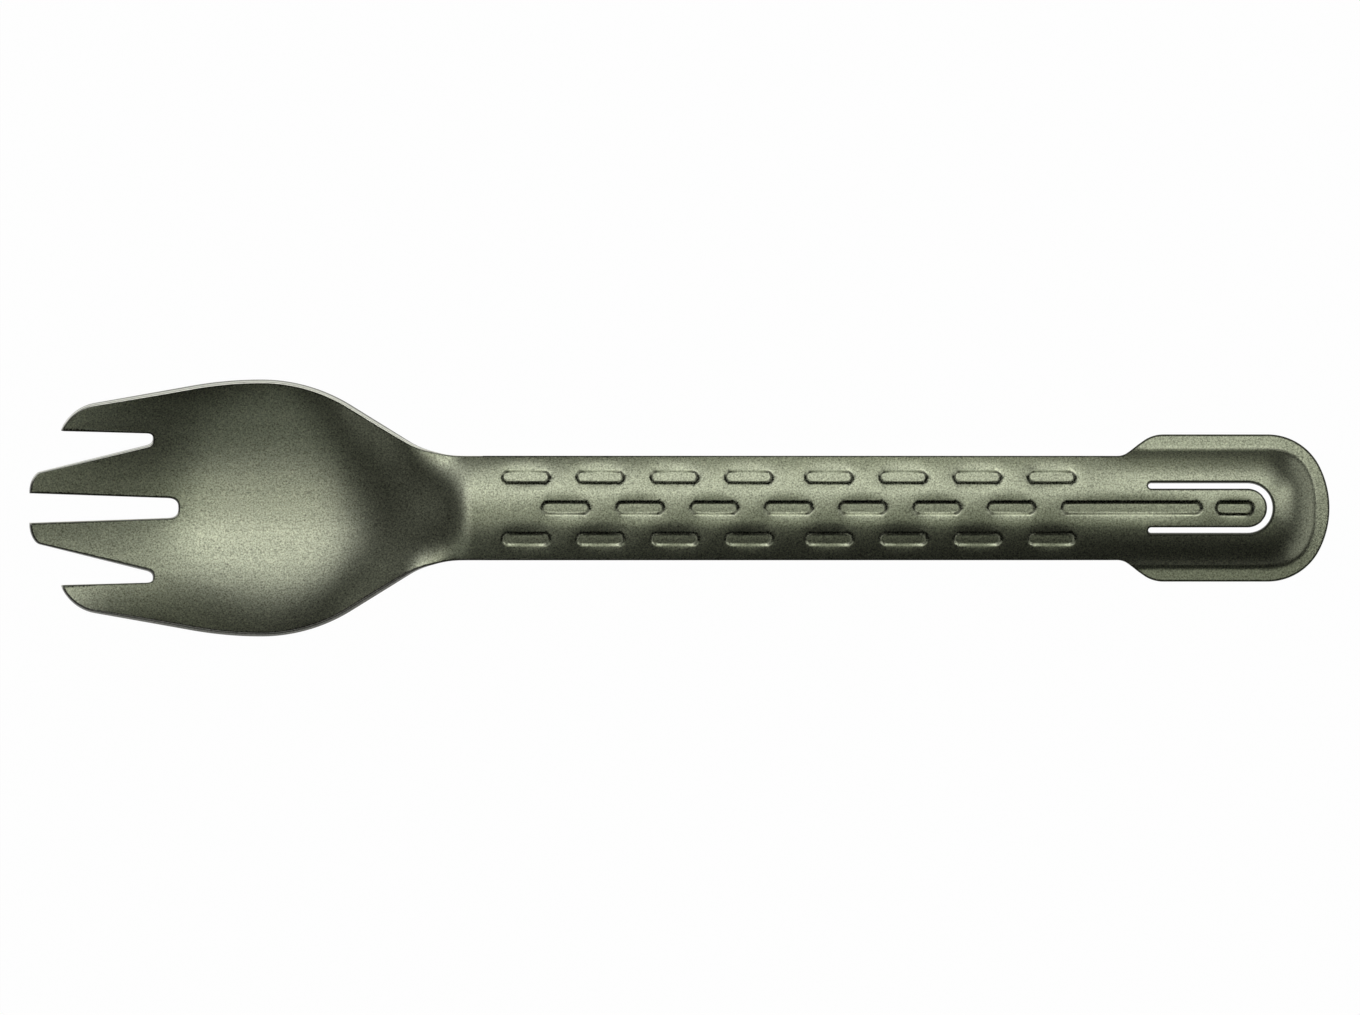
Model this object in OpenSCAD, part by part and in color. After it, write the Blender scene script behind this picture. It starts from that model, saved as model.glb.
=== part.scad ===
// A spork pressed from one piece of aluminium sheet, in millimetres, +Z up, +X towards the tail.
// It lies as it does on a table: on the bottom of the bowl and on the flat flange of the tail.
// "Along" is the distance from the tips of the inner tines, measured towards the tail.
// The tines, bowl, neck, handle, tail and spring tongue are the zones of the one blank.

/* [Sheet] */

// Thickness of the sheet
sheet_t = 1; // [0.8:0.05:1.2]

/* [Bowl] */

// Width of the head at its widest
bowl_w = 39.75; // [37:0.05:43]
// Widest place of the head, along
bowl_at = 35.5; // [34:0.1:40]
// Depth of the bowl under the line of its edges
bowl_depth = 5.5; // [4.5:0.1:7]
// Radius of the head's outline behind its widest place
bowl_r = 25.3; // [23:0.1:28]
// Radius of the head's outline in front of its widest place
flank_r = 60; // [46:1:66]
// Angle of the head's front flank, in degrees
flank_angle = 10.2; // [9:0.2:12]
// Angle of the outline where the head narrows to the neck, in degrees
neck_angle = 31.8; // [28:0.1:36]
// Radius of the outline where the neck runs into the handle
neck_r = 16; // [12:0.5:22]
// Straight run from the end of that radius to the handle
neck_run = 3.4; // [2:0.1:6]

/* [Tines] */

// Slope of the tines as a rise over a run
tine_rise_share = 0.25; // [0.15:0.01:0.32]
// Root of the middle slot, along
middle_slot_len = 22.6; // [19:0.1:25]
// Width of the middle slot at the tips, as a share of the head's width
middle_mouth_share = 0.113; // [0.09:0.001:0.126]
// Width of the middle slot at its root, as a share of the head's width
middle_root_share = 0.073; // [0.05:0.001:0.086]
// Root of the outer slots, along
outer_slot_len = 18.8; // [16:0.1:21]
// Width of an outer slot carried on to the line of the inner tips, as a share of the head's width
outer_mouth_share = 0.169; // [0.14:0.001:0.175]
// Width of an outer slot at its root, as a share of the head's width
outer_root_share = 0.0416; // [0.03:0.0002:0.056]
// Middle of an outer slot from the centre line, at the inner tips, as a share of the head's width
outer_mouth_at_share = 0.2145; // [0.208:0.0005:0.224]
// Middle of an outer slot from the centre line at its root, as a share of the head's width
outer_root_at_share = 0.265; // [0.258:0.001:0.277]
// Length of the rounded tip of an inner tine
inner_tip_len = 1.4; // [1:0.1:2.5]
// How far the tips of the outer tines stand back from those of the inner ones
outer_tip_back = 4.6; // [4:0.1:5.4]
// Length of the rounded tip of an outer tine
outer_tip_len = 5.4; // [5:0.1:6]
// Radius of the rounded tip of an outer tine
outer_tip_r = 7; // [6.8:0.1:9]

/* [Handle] */

// Width of the handle
handle_w = 16.3; // [15:0.1:18]
// Length of the handle between the neck and the tail
handle_len = 95; // [80:0.5:120]
// Radius of the handle's arch on the upper side
arch_r = 18; // [15:0.5:24]

/* [Beads] */

// Width of a bead's flat floor
bead_w = 1.45; // [1.2:0.05:1.7]
// Length of a bead's flat floor
bead_len = 7; // [5.5:0.1:7.6]
// Depth of a bead
bead_depth = 0.4; // [0.3:0.05:0.5]
// Width of a bead's sloping wall
bead_wall = 1.1; // [0.8:0.05:1.2]
// Distance between beads in a row
bead_pitch = 11.43; // [11:0.05:13]
// Distance between the middle row and an outer row, over the arch
row_pitch = 4.85; // [4.7:0.05:5.1]
// Start of the handle to the floor of the first bead of an outer row
bead_margin = 3.25; // [2.6:0.05:4]
// Extra step in the middle of an outer row
bead_extra = 0.9; // [0:0.1:2]
// Start of the middle row after that of the outer rows
row_shift = 6.1; // [5.4:0.1:6.4]
// Length of the long bead past the end of the handle, on the tail and its tongue
long_bead_past = 15.5; // [13.5:0.1:16.5]
// Length of the floor of the dimple on the tongue
dimple_len = 5.1; // [4:0.1:5.3]
// Far end of the dimple's floor from the tip of the tongue
dimple_back = 2.5; // [2.2:0.1:2.8]
// Depth of that dimple
dimple_depth = 0.6; // [0.4:0.05:0.7]
// Width of the dimple's sloping wall
dimple_wall = 0.6; // [0.5:0.05:0.8]

/* [Tail] */

// Length of the tail
tail_len = 35.5; // [34:0.1:39]
// Width of the tail over its flange
tail_w = 22.75; // [21.8:0.05:25]
// Width of the flat flange
flange_w = 1.75; // [1.4:0.05:2.2]
// Width of the flat flange at the end of the tail
end_flange_w = 1.35; // [1.2:0.05:1.8]
// Steepest angle of the dome's wall, in degrees
dome_angle = 40; // [34:1:46]
// Radius between the dome's wall and the flange
dome_fillet = 1.8; // [1:0.1:2.2]
// Angle to which the dome keeps the handle's arch, in degrees
crown_angle = 16; // [13:0.5:17]
// Radius of the tail's two end corners
tail_corner_r = 9; // [8:0.1:9.8]
// Radius of the tail's end
tail_end_r = 14.2; // [12.5:0.1:18]
// Angle of the shoulder where the handle widens to the tail, in degrees
shoulder_angle = 35; // [30:1:42]
// Inner radius of the shoulder
shoulder_in_r = 3; // [2:0.1:4]
// Outer radius of the shoulder
shoulder_out_r = 5; // [4:0.1:6]
// Start of the shoulder after the end of the handle
shoulder_at = 2.7; // [2:0.1:3.4]

/* [Spring tongue] */

// Width of the tongue
tongue_w = 6.05; // [5.6:0.05:6.6]
// Width of the slot round the tongue
tongue_slot = 0.95; // [0.7:0.05:1.2]
// Tip of the tongue from the end of the tail
tongue_tip_back = 9.8; // [9.4:0.1:12]
// Start of the slot after the end of the handle
slot_start = 7.4; // [6.6:0.1:8.4]
// Bending line of the tongue after the start of the slot
hinge_after = 2; // [1.6:0.1:2.8]
// Play at the bending line
hinge_play = 0.05; // [0.03:0.01:0.1]

/* [Hidden] */

$fn = 48;

// Shared numbers: how far cuts run past a face, and the step used to find a slope
overrun = sheet_t;
slope_step = sheet_t / 100;

// Places along the head's outline
flank_end = bowl_at - flank_r * sin(flank_angle);
flank_end_y = bowl_w / 2 - flank_r * (1 - cos(flank_angle));
narrow_from = bowl_at + bowl_r * sin(neck_angle);
narrow_from_y = bowl_w / 2 - bowl_r * (1 - cos(neck_angle));
narrow_to_y = handle_w / 2 + neck_r * (1 - cos(neck_angle));
narrow_to = narrow_from + (narrow_from_y - narrow_to_y) / tan(neck_angle);
neck_end = narrow_to + neck_r * sin(neck_angle);

// Slots between the tines, which follow the width of the head
middle_slot_mouth = bowl_w * middle_mouth_share;
middle_slot_root = bowl_w * middle_root_share;
outer_slot_mouth = bowl_w * outer_mouth_share;
outer_slot_root = bowl_w * outer_root_share;
outer_slot_mouth_y = bowl_w * outer_mouth_at_share;
outer_slot_root_y = bowl_w * outer_root_at_share;

// Places along the whole spork
tine_root_share = 0.06;
tine_root = middle_slot_len * (1 + tine_root_share);
handle_from = neck_end + neck_run;
handle_to = handle_from + handle_len;
bend_end = handle_to + slot_start;
spork_len = handle_to + tail_len;
mid_along = spork_len / 2;

// Dome of the tail: the handle's arch, then a tighter arc down to the fillet on the flange
dome_foot = tail_w / 2 - flange_w;
crown_y = arch_r * sin(crown_angle);
crown_drop = arch_r * (1 - cos(crown_angle));
wall_y = dome_foot - dome_fillet * sin(dome_angle);
wall_r = (wall_y - crown_y) / (sin(dome_angle) - sin(crown_angle));
wall_drop = wall_r * (cos(crown_angle) - cos(dome_angle));
dome_h = crown_drop + wall_drop + dome_fillet * (1 - cos(dome_angle));
dome_end = spork_len - end_flange_w;
dome_turn_share = 0.9;
dome_turn = dome_foot * dome_turn_share;
dome_round = 2.5;

// Heights: the flange and the bottom of the bowl rest on the table, the edges rise in one straight line
tail_crown_z = sheet_t + dome_h;
arch_h = arch_r - sqrt(arch_r * arch_r - handle_w * handle_w / 4);
rise_run = (bend_end - handle_to) / 2 + handle_to - bowl_at;
edge_slope = (sheet_t + bowl_depth - tail_crown_z + arch_h) / rise_run;
tilt = atan(edge_slope);
dish_run_share = 0.39;
dish_run = bowl_at * dish_run_share;

// Numbers of flat cells in the curved zones
head_cells_in = 9;
head_cells_out = 5;
bowl_steps = 16;
neck_steps = 18;
tine_steps = 12;
tip_steps = 6;
dome_cells = 12;
flange_cells = 2;
shoulder_steps = 12;
tail_steps = 6;
end_steps = 12;
tongue_cells = 5;

function mix(a, b, u) = a + (b - a) * u;
function smooth(u) = let(v = max(0, min(1, u))) v * v * (3 - 2 * v);
function spread(a, b, n) = [for (i = [0:n]) mix(a, b, i / n)];
function after(list) = [for (i = [1:len(list) - 1]) list[i]];
function gather_start(a, b, n) = [for (i = [0:n]) mix(a, b, 1 - cos(90 * i / n))];
function gather_end(a, b, n) = [for (i = [0:n]) mix(a, b, sin(90 * i / n))];
function root(v) = sqrt(max(0, v));

// Height of the crown line of the handle and tail
function crown_z(s) =
    s > bend_end ? tail_crown_z
    : s > handle_to ? tail_crown_z + edge_slope * pow(bend_end - s, 2) / (2 * (bend_end - handle_to))
    : tail_crown_z + edge_slope * ((bend_end - handle_to) / 2 + handle_to - s);

// Height of the line of the edges, from the handle to the tine tips
function edge_z(s) = crown_z(s) - arch_h;

// Height of the centre line: up the tines, flat under the bowl, up the neck to the crown
function dish_z(s) =
    let(u = (bowl_at - s) / dish_run)
    sheet_t + tine_rise_share * dish_run * (pow(1 + pow(u, 3), 1 / 3) - 1);
function neck_share(s) = smooth(pow((s - bowl_at) / (handle_from - bowl_at), 3 / 2));
function centre_z(s) = s < bowl_at ? dish_z(s) : mix(sheet_t, crown_z(s), neck_share(s));

// Half width of the head, with its front flank carried straight on past the tips
function outline(s) =
    s < flank_end ? flank_end_y + (s - flank_end) * tan(flank_angle)
    : s < bowl_at ? bowl_w / 2 - flank_r + root(pow(flank_r, 2) - pow(s - bowl_at, 2))
    : s < narrow_from ? bowl_w / 2 - bowl_r + root(pow(bowl_r, 2) - pow(s - bowl_at, 2))
    : s < narrow_to ? narrow_from_y - (s - narrow_from) * tan(neck_angle)
    : s < neck_end ? handle_w / 2 + neck_r - root(pow(neck_r, 2) - pow(neck_end - s, 2))
    : handle_w / 2;

// The cut edge stands square to the sheet, so in the bowl the upper edge lies inside the outline
function bend(c, w) = 2 * c / (w * w + c * c);
function head_sag(s) = centre_z(s) - edge_z(s);
function head_edge(s) = let(w = outline(s)) w + sheet_t * min(0, bend(head_sag(s), w) * w);

// Upper face of the head: each section is an arc of a circle that hangs from, or stands on, the edge line
function head_z(s, y) =
    let(w = head_edge(s), k = bend(head_sag(s), w))
    edge_z(s) + k * (w * w - y * y) / (root(1 - k * k * y * y) + root(1 - k * k * w * w));

// Upper face of the tail: the arch turns into the dome and its flange within the shoulder
function arch_drop(y) = arch_r - sqrt(arch_r * arch_r - y * y);
function dome_drop(q) =
    q < crown_y ? arch_drop(q)
    : q < wall_y ? crown_drop + wall_r * cos(crown_angle)
        - root(pow(wall_r, 2) - pow(q - crown_y + wall_r * sin(crown_angle), 2))
    : q < dome_foot ? dome_h - dome_fillet + root(pow(dome_fillet, 2) - pow(dome_foot - q, 2))
    : dome_h;
function end_share(s) = max(0, s - dome_end + dome_turn) / dome_turn;
function dome_q(s, y) =
    pow(pow(abs(y), dome_round) + pow(dome_foot * end_share(s), dome_round), 1 / dome_round);
function tail_z(s, y) =
    crown_z(s) - mix(arch_drop(y), dome_drop(dome_q(s, y)), smooth((s - handle_to) / slot_start));

// Half width of the tail: shoulder, straight side, corner and end
shoulder_in_y = handle_w / 2 + shoulder_in_r * (1 - cos(shoulder_angle));
shoulder_out_y = tail_w / 2 - shoulder_out_r * (1 - cos(shoulder_angle));
shoulder_from = handle_to + shoulder_at;
shoulder_a = shoulder_from + shoulder_in_r * sin(shoulder_angle);
shoulder_b = shoulder_a + (shoulder_out_y - shoulder_in_y) / tan(shoulder_angle);
shoulder_to = shoulder_b + shoulder_out_r * sin(shoulder_angle);
corner_cos_share = (tail_w / 2 - tail_corner_r) / (tail_end_r - tail_corner_r);
corner_angle = acos(corner_cos_share);
corner_from = spork_len - tail_end_r + (tail_end_r - tail_corner_r) * sin(corner_angle);
corner_to = corner_from + tail_corner_r * sin(corner_angle);
function tail_edge(s) =
    s < shoulder_from ? handle_w / 2
    : s < shoulder_a ? handle_w / 2 + shoulder_in_r - root(pow(shoulder_in_r, 2) - pow(s - shoulder_from, 2))
    : s < shoulder_b ? shoulder_in_y + (s - shoulder_a) * tan(shoulder_angle)
    : s < shoulder_to ? tail_w / 2 - shoulder_out_r + root(pow(shoulder_out_r, 2) - pow(shoulder_to - s, 2))
    : s < corner_from ? tail_w / 2
    : s < corner_to ? tail_w / 2 - tail_corner_r + root(pow(tail_corner_r, 2) - pow(s - corner_from, 2))
    : root(pow(tail_end_r, 2) - pow(s - spork_len + tail_end_r, 2));

// Line between the dome and the flange; near the end it closes in on the centre line
foot_share = dome_foot / (tail_w / 2);
foot_least_share = 0.3;
function foot_y(s) =
    let(e = min(1, end_share(s)), y = dome_foot * pow(1 - pow(e, dome_round), 1 / dome_round))
    max(foot_least_share * tail_edge(s), min(y, foot_share * tail_edge(s)));

// Slots between the tines: straight sides and a root rounded as a full ellipse
slot_round_share = 0.6;
slot_power = 2.6;
function slot_half(s, mouth, root_w, len) =
    let(h = mix(mouth, root_w, s / len) / 2, round_from = len - root_w * slot_round_share)
    s >= len ? 0
    : s < round_from ? h
    : h * pow(1 - pow((s - round_from) / (len - round_from), slot_power), 1 / slot_power);
function middle_half(s) = slot_half(s, middle_slot_mouth, middle_slot_root, middle_slot_len);
function outer_half(s) = slot_half(s, outer_slot_mouth, outer_slot_root, outer_slot_len);
function outer_mid(s) = mix(outer_slot_mouth_y, outer_slot_root_y, s / outer_slot_len);

// Sides of an inner tine, whose tip is a quarter of an ellipse
function inner_tip_share(s) = s > inner_tip_len ? 1 : root(1 - pow(1 - s / inner_tip_len, 2));
function inner_low(s) = middle_half(s);
function inner_high(s) = mix(middle_half(s), outer_mid(s) - outer_half(s), inner_tip_share(s));

// Sides of an outer tine, whose tip is an arc that runs into the flank, with a small blunt end
outer_tip_end = outer_tip_back + outer_tip_len;
outer_tip_mid = outer_tip_end + outer_tip_r * sin(flank_angle);
outer_tip_mid_y = outline(outer_tip_end) - outer_tip_r * cos(flank_angle);
blunt_share = 0.25;
function outer_tip_y(s) =
    s > outer_tip_end ? outline(s)
    : outer_tip_mid_y + root(pow(outer_tip_r, 2) - pow(outer_tip_mid - s, 2));
function outer_low(s) = outer_mid(s) + outer_half(s);
function outer_high(s) =
    max(outer_low(s) + blunt_share * sheet_t, outer_tip_y(s) * head_edge(s) / outline(s));

// Under face: the upper face moved square to the sheet within its own section, so that sections stay flat
function under(s, y, z, along_slope, side_slope) =
    let(thick = sheet_t * sqrt(1 + pow(along_slope, 2) + pow(side_slope, 2)) / (1 + pow(side_slope, 2)))
    [s, y + thick * side_slope, z - thick];

// A piece of sheet over a grid: stations along, and at each station a list of distances from the centre line
module sheet(along, across, upper) {
    n = len(along);
    m = len(across[0]);
    d = slope_step;
    top = [for (i = [0:n - 1]) for (y = across[i]) [along[i], y, upper(along[i], y)]];
    low = [for (p = top) under(p[0], p[1], p[2],
        (upper(p[0] + d, p[1]) - upper(p[0] - d, p[1])) / (2 * d),
        (upper(p[0], p[1] + d) - upper(p[0], p[1] - d)) / (2 * d))];
    q = n * m;
    upper_faces = [for (i = [0:n - 2]) for (j = [0:m - 2]) let(a = i * m + j, b = a + m)
        each [[a, a + 1, b + 1], [a, b + 1, b]]];
    under_faces = [for (i = [0:n - 2]) for (j = [0:m - 2]) let(a = q + i * m + j, b = a + m)
        each [[a, b + 1, a + 1], [a, b, b + 1]]];
    side_faces = [for (i = [0:n - 2]) let(a = i * m, b = a + m, c = a + m - 1, e = b + m - 1)
        each [[a, b, q + b], [a, q + b, q + a], [c, q + e, e], [c, q + c, q + e]]];
    end_faces = [for (j = [0:m - 2]) let(a = j, b = (n - 1) * m + j)
        each [[a + 1, a, q + a], [a + 1, q + a, q + a + 1], [b, b + 1, q + b + 1], [b, q + b + 1, q + b]]];
    translate([-mid_along, 0, 0])
        polyhedron(concat(top, low), concat(upper_faces, under_faces, side_faces, end_faces), 10);
}

// Stations and widths of the head behind the tines
root_share = outer_mid(tine_root) / head_edge(tine_root);
function head_across(s) =
    let(w = head_edge(s), half = concat(spread(0, root_share * w, head_cells_in),
        after(spread(root_share * w, w, head_cells_out))), n = len(half) - 1)
    concat([for (i = [0:n - 1]) -half[n - i]], half);

module head_zone(from, to, steps) {
    along = spread(from, to, steps);
    sheet(along, [for (s = along) head_across(s)], function(s, y) head_z(s, y));
}

// Stations of a tine: close together at its rounded tip and at the round roots of its slots
tip_start_share = 0.02;
function tine_along(tip, tip_len, slot_a, slot_b) = concat(
    gather_start(tip + tip_len * tip_start_share, tip + tip_len, tip_steps),
    after(spread(tip + tip_len, slot_a - outer_slot_root, tine_steps)),
    after(gather_end(slot_a - outer_slot_root, slot_a, tip_steps)),
    slot_b > slot_a ? after(spread(slot_a, slot_b - middle_slot_root, 2)) : [],
    slot_b > slot_a ? after(gather_end(slot_b - middle_slot_root, slot_b, tip_steps)) : [],
    after(spread(max(slot_a, slot_b), tine_root, 2)));

module inner_tine() {
    along = tine_along(0, inner_tip_len, outer_slot_len, middle_slot_len);
    sheet(along, [for (s = along) spread(inner_low(s), inner_high(s), head_cells_in)],
        function(s, y) head_z(s, y));
}

module outer_tine() {
    along = tine_along(outer_tip_back, outer_tip_len, outer_slot_len, outer_slot_len);
    sheet(along, [for (s = along) spread(outer_low(s), outer_high(s), head_cells_out)],
        function(s, y) head_z(s, y));
}

// Half of a stadium with sloping walls, turned about its end
module round_end(low_r, high_r, low_z, high_z) {
    rotate([0, 0, -90])
        rotate_extrude(angle = 180)
            polygon([[0, low_z], [low_r, low_z], [high_r, high_z], [0, high_z]]);
}

// Straight part of the same, along X
module straight_part(len, low_r, high_r, low_z, high_z) {
    rotate([90, 0, 90])
        linear_extrude(height = len)
            polygon([[-low_r, low_z], [low_r, low_z], [high_r, high_z], [-high_r, high_z]]);
}

module stadium(len, low_r, high_r, low_z, high_z) {
    straight_part(len, low_r, high_r, low_z, high_z);
    translate([len, 0, 0])
        round_end(low_r, high_r, low_z, high_z);
    rotate([0, 0, 180])
        round_end(low_r, high_r, low_z, high_z);
}

// A bead seen from above is a hollow with sloping walls; seen from below it stands proud.
// Its upper face is at height 0 and its floor starts at x = 0. The boss reaches a little into the sheet.
boss_in = sheet_t / 4;
bead_share = bead_wall / bead_depth;
dimple_share = dimple_wall / dimple_depth;
function hollow_r(depth, share) = bead_w / 2 + (depth + overrun) * share;
function boss_low_r(share) = bead_w / 2 + sheet_t * tan(atan(1 / share) / 2);
function boss_high_r(depth, share) = boss_low_r(share) + (depth + boss_in) * share;
module bead_hollow(len, depth, share) {
    translate([bead_w / 2, 0, 0])
        stadium(len - bead_w, bead_w / 2, hollow_r(depth, share), -depth, overrun);
}

module bead_boss(len, depth, share) {
    translate([bead_w / 2, 0, 0])
        stadium(len - bead_w, boss_low_r(share), boss_high_r(depth, share),
            -sheet_t - depth, boss_in - sheet_t);
}

// Where the beads start: two outer rows and a middle row half a pitch on
outer_count = floor((handle_len - 2 * bead_margin - bead_len - bead_extra) / bead_pitch) + 1;
row_angle = row_pitch / arch_r * 180 / PI;
middle_first = bead_margin + row_shift;
long_bead_from = middle_bead(outer_count - 1);
function outer_bead(i) =
    handle_from + bead_margin + i * bead_pitch + (2 * i >= outer_count ? bead_extra : 0);
function middle_bead(i) = handle_from + middle_first + i * bead_pitch;

// Puts a bead on the arch of the handle: its place along, and the angle round the arch
module on_handle(s, angle) {
    translate([s - mid_along, 0, crown_z(s)])
        rotate([0, tilt, 0])
            translate([0, 0, -arch_r])
                rotate([-angle, 0, 0])
                    translate([0, 0, arch_r])
                        children();
}

module every_bead() {
    for (i = [0:outer_count - 1]) {
        on_handle(outer_bead(i), row_angle) children(0);
        on_handle(outer_bead(i), -row_angle) children(0);
    }
    for (i = [0:outer_count - 2]) {
        on_handle(middle_bead(i), 0) children(0);
    }
    on_handle(long_bead_from, 0) children(1);
}

// Section of the handle: a band between two arcs, with its cut edges square to the sheet
arch_angle = asin(handle_w / 2 / arch_r);
module arch_section() {
    far = 2 * arch_r;
    intersection() {
        difference() {
            circle(r = arch_r, $fn = 180);
            circle(r = arch_r - sheet_t, $fn = 180);
        }
        polygon([[0, 0], [far * sin(arch_angle), far * cos(arch_angle)],
            [-far * sin(arch_angle), far * cos(arch_angle)]]);
    }
}

long_on_handle = handle_to - long_bead_from;

module handle() {
    color("#7d846f")
        intersection() {
            difference() {
                union() {
                    translate([handle_from - mid_along, 0, crown_z(handle_from)])
                        rotate([0, tilt, 0])
                            translate([-overrun, 0, -arch_r])
                                rotate([90, 0, 90])
                                    linear_extrude(height = handle_len + 3 * overrun)
                                        arch_section();
                    every_bead() {
                        bead_boss(bead_len, bead_depth, bead_share);
                        bead_boss(long_on_handle + 3 * overrun, bead_depth, bead_share);
                    }
                }
                every_bead() {
                    bead_hollow(bead_len, bead_depth, bead_share);
                    bead_hollow(long_on_handle + 3 * overrun, bead_depth, bead_share);
                }
            }
            translate([handle_from - mid_along, -handle_w, -arch_r])
                cube([handle_len, 2 * handle_w, 3 * arch_r]);
        }
}

// Tail without its slot
module tail_sheet() {
    along = concat(spread(handle_to, shoulder_to, shoulder_steps),
        after(spread(shoulder_to, dome_end - dome_turn, tail_steps)),
        after(gather_end(dome_end - dome_turn, dome_end, end_steps)),
        after(gather_end(dome_end, spork_len - slope_step * 2, tip_steps)));
    across = [for (s = along)
        let(f = foot_y(s), w = tail_edge(s),
            half = concat(spread(0, f, dome_cells), after(spread(f, w, flange_cells))),
            n = len(half) - 1)
        concat([for (i = [0:n - 1]) -half[n - i]], half)];
    sheet(along, across, function(s, y) tail_z(s, y));
}

// The long bead crosses the bend at the end of the handle in two straight runs and ends on the tongue
long_bead_to = handle_to + long_bead_past - bead_w / 2;
half_tilt = atan((crown_z(handle_to) - tail_crown_z) / (bend_end - handle_to));
bend_run = (bend_end - handle_to) / cos(half_tilt);
module long_bead_run(low_r, high_r, low_z, high_z) {
    translate([handle_to - mid_along, 0, crown_z(handle_to)])
        rotate([0, half_tilt, 0])
            translate([-overrun, 0, 0])
                straight_part(bend_run + overrun, low_r, high_r, low_z, high_z);
    translate([bend_end - mid_along, 0, tail_crown_z]) {
        straight_part(long_bead_to - bend_end, low_r, high_r, low_z, high_z);
        translate([long_bead_to - bend_end, 0, 0])
            round_end(low_r, high_r, low_z, high_z);
    }
}

module long_hollow() {
    long_bead_run(bead_w / 2, hollow_r(bead_depth, bead_share), -bead_depth, overrun);
}

module long_boss() {
    long_bead_run(boss_low_r(bead_share), boss_high_r(bead_depth, bead_share),
        -sheet_t - bead_depth, boss_in - sheet_t);
}

// Bending line of the tongue, in the middle of the sheet with its bead
slot_from = handle_to + slot_start;
hinge_s = slot_from + hinge_after;
hinge_z = tail_crown_z - (sheet_t + bead_depth) / 2;
hinge_r = (sheet_t + bead_depth) / 2 + sheet_t / 4;
tongue_tip = spork_len - tongue_tip_back;
slot_out = tongue_w / 2 + tongue_slot;

// Plan of the slot: everything the tail lacks, with two round-ended legs beside the tongue's root
module slot_plan() {
    tip_from = tongue_tip - tongue_w / 2;
    leg_y = tongue_w / 2 + tongue_slot / 2;
    translate([hinge_s, -slot_out])
        square([tip_from - hinge_s, 2 * slot_out]);
    translate([tip_from, 0])
        circle(r = slot_out);
    for (side = [-1, 1]) {
        translate([slot_from + tongue_slot / 2, side * leg_y - tongue_slot / 2])
            square([hinge_s - slot_from, tongue_slot]);
        translate([slot_from + tongue_slot / 2, side * leg_y])
            circle(d = tongue_slot);
    }
}

module hinge_round(r, len) {
    translate([hinge_s - mid_along, len / 2, hinge_z])
        rotate([90, 0, 0])
            cylinder(r = r, h = len);
}

module tail_cup() {
    color("#7d846f")
        difference() {
            union() {
                tail_sheet();
                intersection() {
                    long_boss();
                    translate([handle_to - mid_along, -slot_out, 0])
                        cube([hinge_s - handle_to, 2 * slot_out, tail_crown_z]);
                }
            }
            long_hollow();
            translate([-mid_along, 0, -overrun])
                linear_extrude(height = tail_crown_z + 2 * overrun)
                    slot_plan();
            hinge_round(hinge_r + hinge_play, tongue_w);
        }
}

// Half width of the tongue, with its round tip
function tongue_edge(s) =
    let(tip_from = tongue_tip - tongue_w / 2)
    s < tip_from ? tongue_w / 2 : root(pow(tongue_w / 2, 2) - pow(s - tip_from, 2));

dimple_from = tongue_tip - dimple_back - dimple_len;

module tongue_sheet() {
    tip_from = tongue_tip - tongue_w / 2;
    along = concat(spread(hinge_s - hinge_r - overrun, tip_from, tine_steps),
        after(gather_end(tip_from, tongue_tip - slope_step * 2, tip_steps)));
    across = [for (s = along) let(w = tongue_edge(s)) spread(-w, w, 2 * tongue_cells)];
    sheet(along, across, function(s, y) tail_z(s, y));
}

module spring_tongue() {
    color("#7d846f")
        intersection() {
            difference() {
                union() {
                    tongue_sheet();
                    long_boss();
                    translate([dimple_from - mid_along, 0, tail_crown_z])
                        bead_boss(dimple_len, dimple_depth, dimple_share);
                }
                long_hollow();
                translate([dimple_from - mid_along, 0, tail_crown_z])
                    bead_hollow(dimple_len, dimple_depth, dimple_share);
            }
            union() {
                hinge_round(hinge_r, tongue_w);
                translate([hinge_s - mid_along, -tongue_w, 0])
                    cube([tail_len, 2 * tongue_w, 2 * tail_crown_z]);
            }
        }
}

module bowl() {
    color("#7d846f")
        head_zone(tine_root, narrow_from, bowl_steps);
}

module neck() {
    color("#7d846f")
        head_zone(narrow_from, handle_from, neck_steps);
}

module inner_tine_right() {
    color("#7d846f")
        inner_tine();
}

module inner_tine_left() {
    color("#7d846f")
        mirror([0, 1, 0])
            inner_tine();
}

module outer_tine_right() {
    color("#7d846f")
        outer_tine();
}

module outer_tine_left() {
    color("#7d846f")
        mirror([0, 1, 0])
            outer_tine();
}

outer_tine_right();
inner_tine_right();
inner_tine_left();
outer_tine_left();
bowl();
neck();
handle();
tail_cup();
spring_tongue();
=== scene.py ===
"""Looks of a spork pressed from one piece of sheet, with a spring tongue cut free in its tail.

Sizes are in millimetres on the sheet's own plan: "along" (s) runs from the tips of the inner tines
towards the tail and "across" (y) from the centre line. Meshes are put into the frame in metres.
"""

import logging
from dataclasses import dataclass, field
from enum import IntEnum
from functools import cached_property
from typing import Sequence

import bpy
import numpy as np
from mathutils import Matrix


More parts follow.
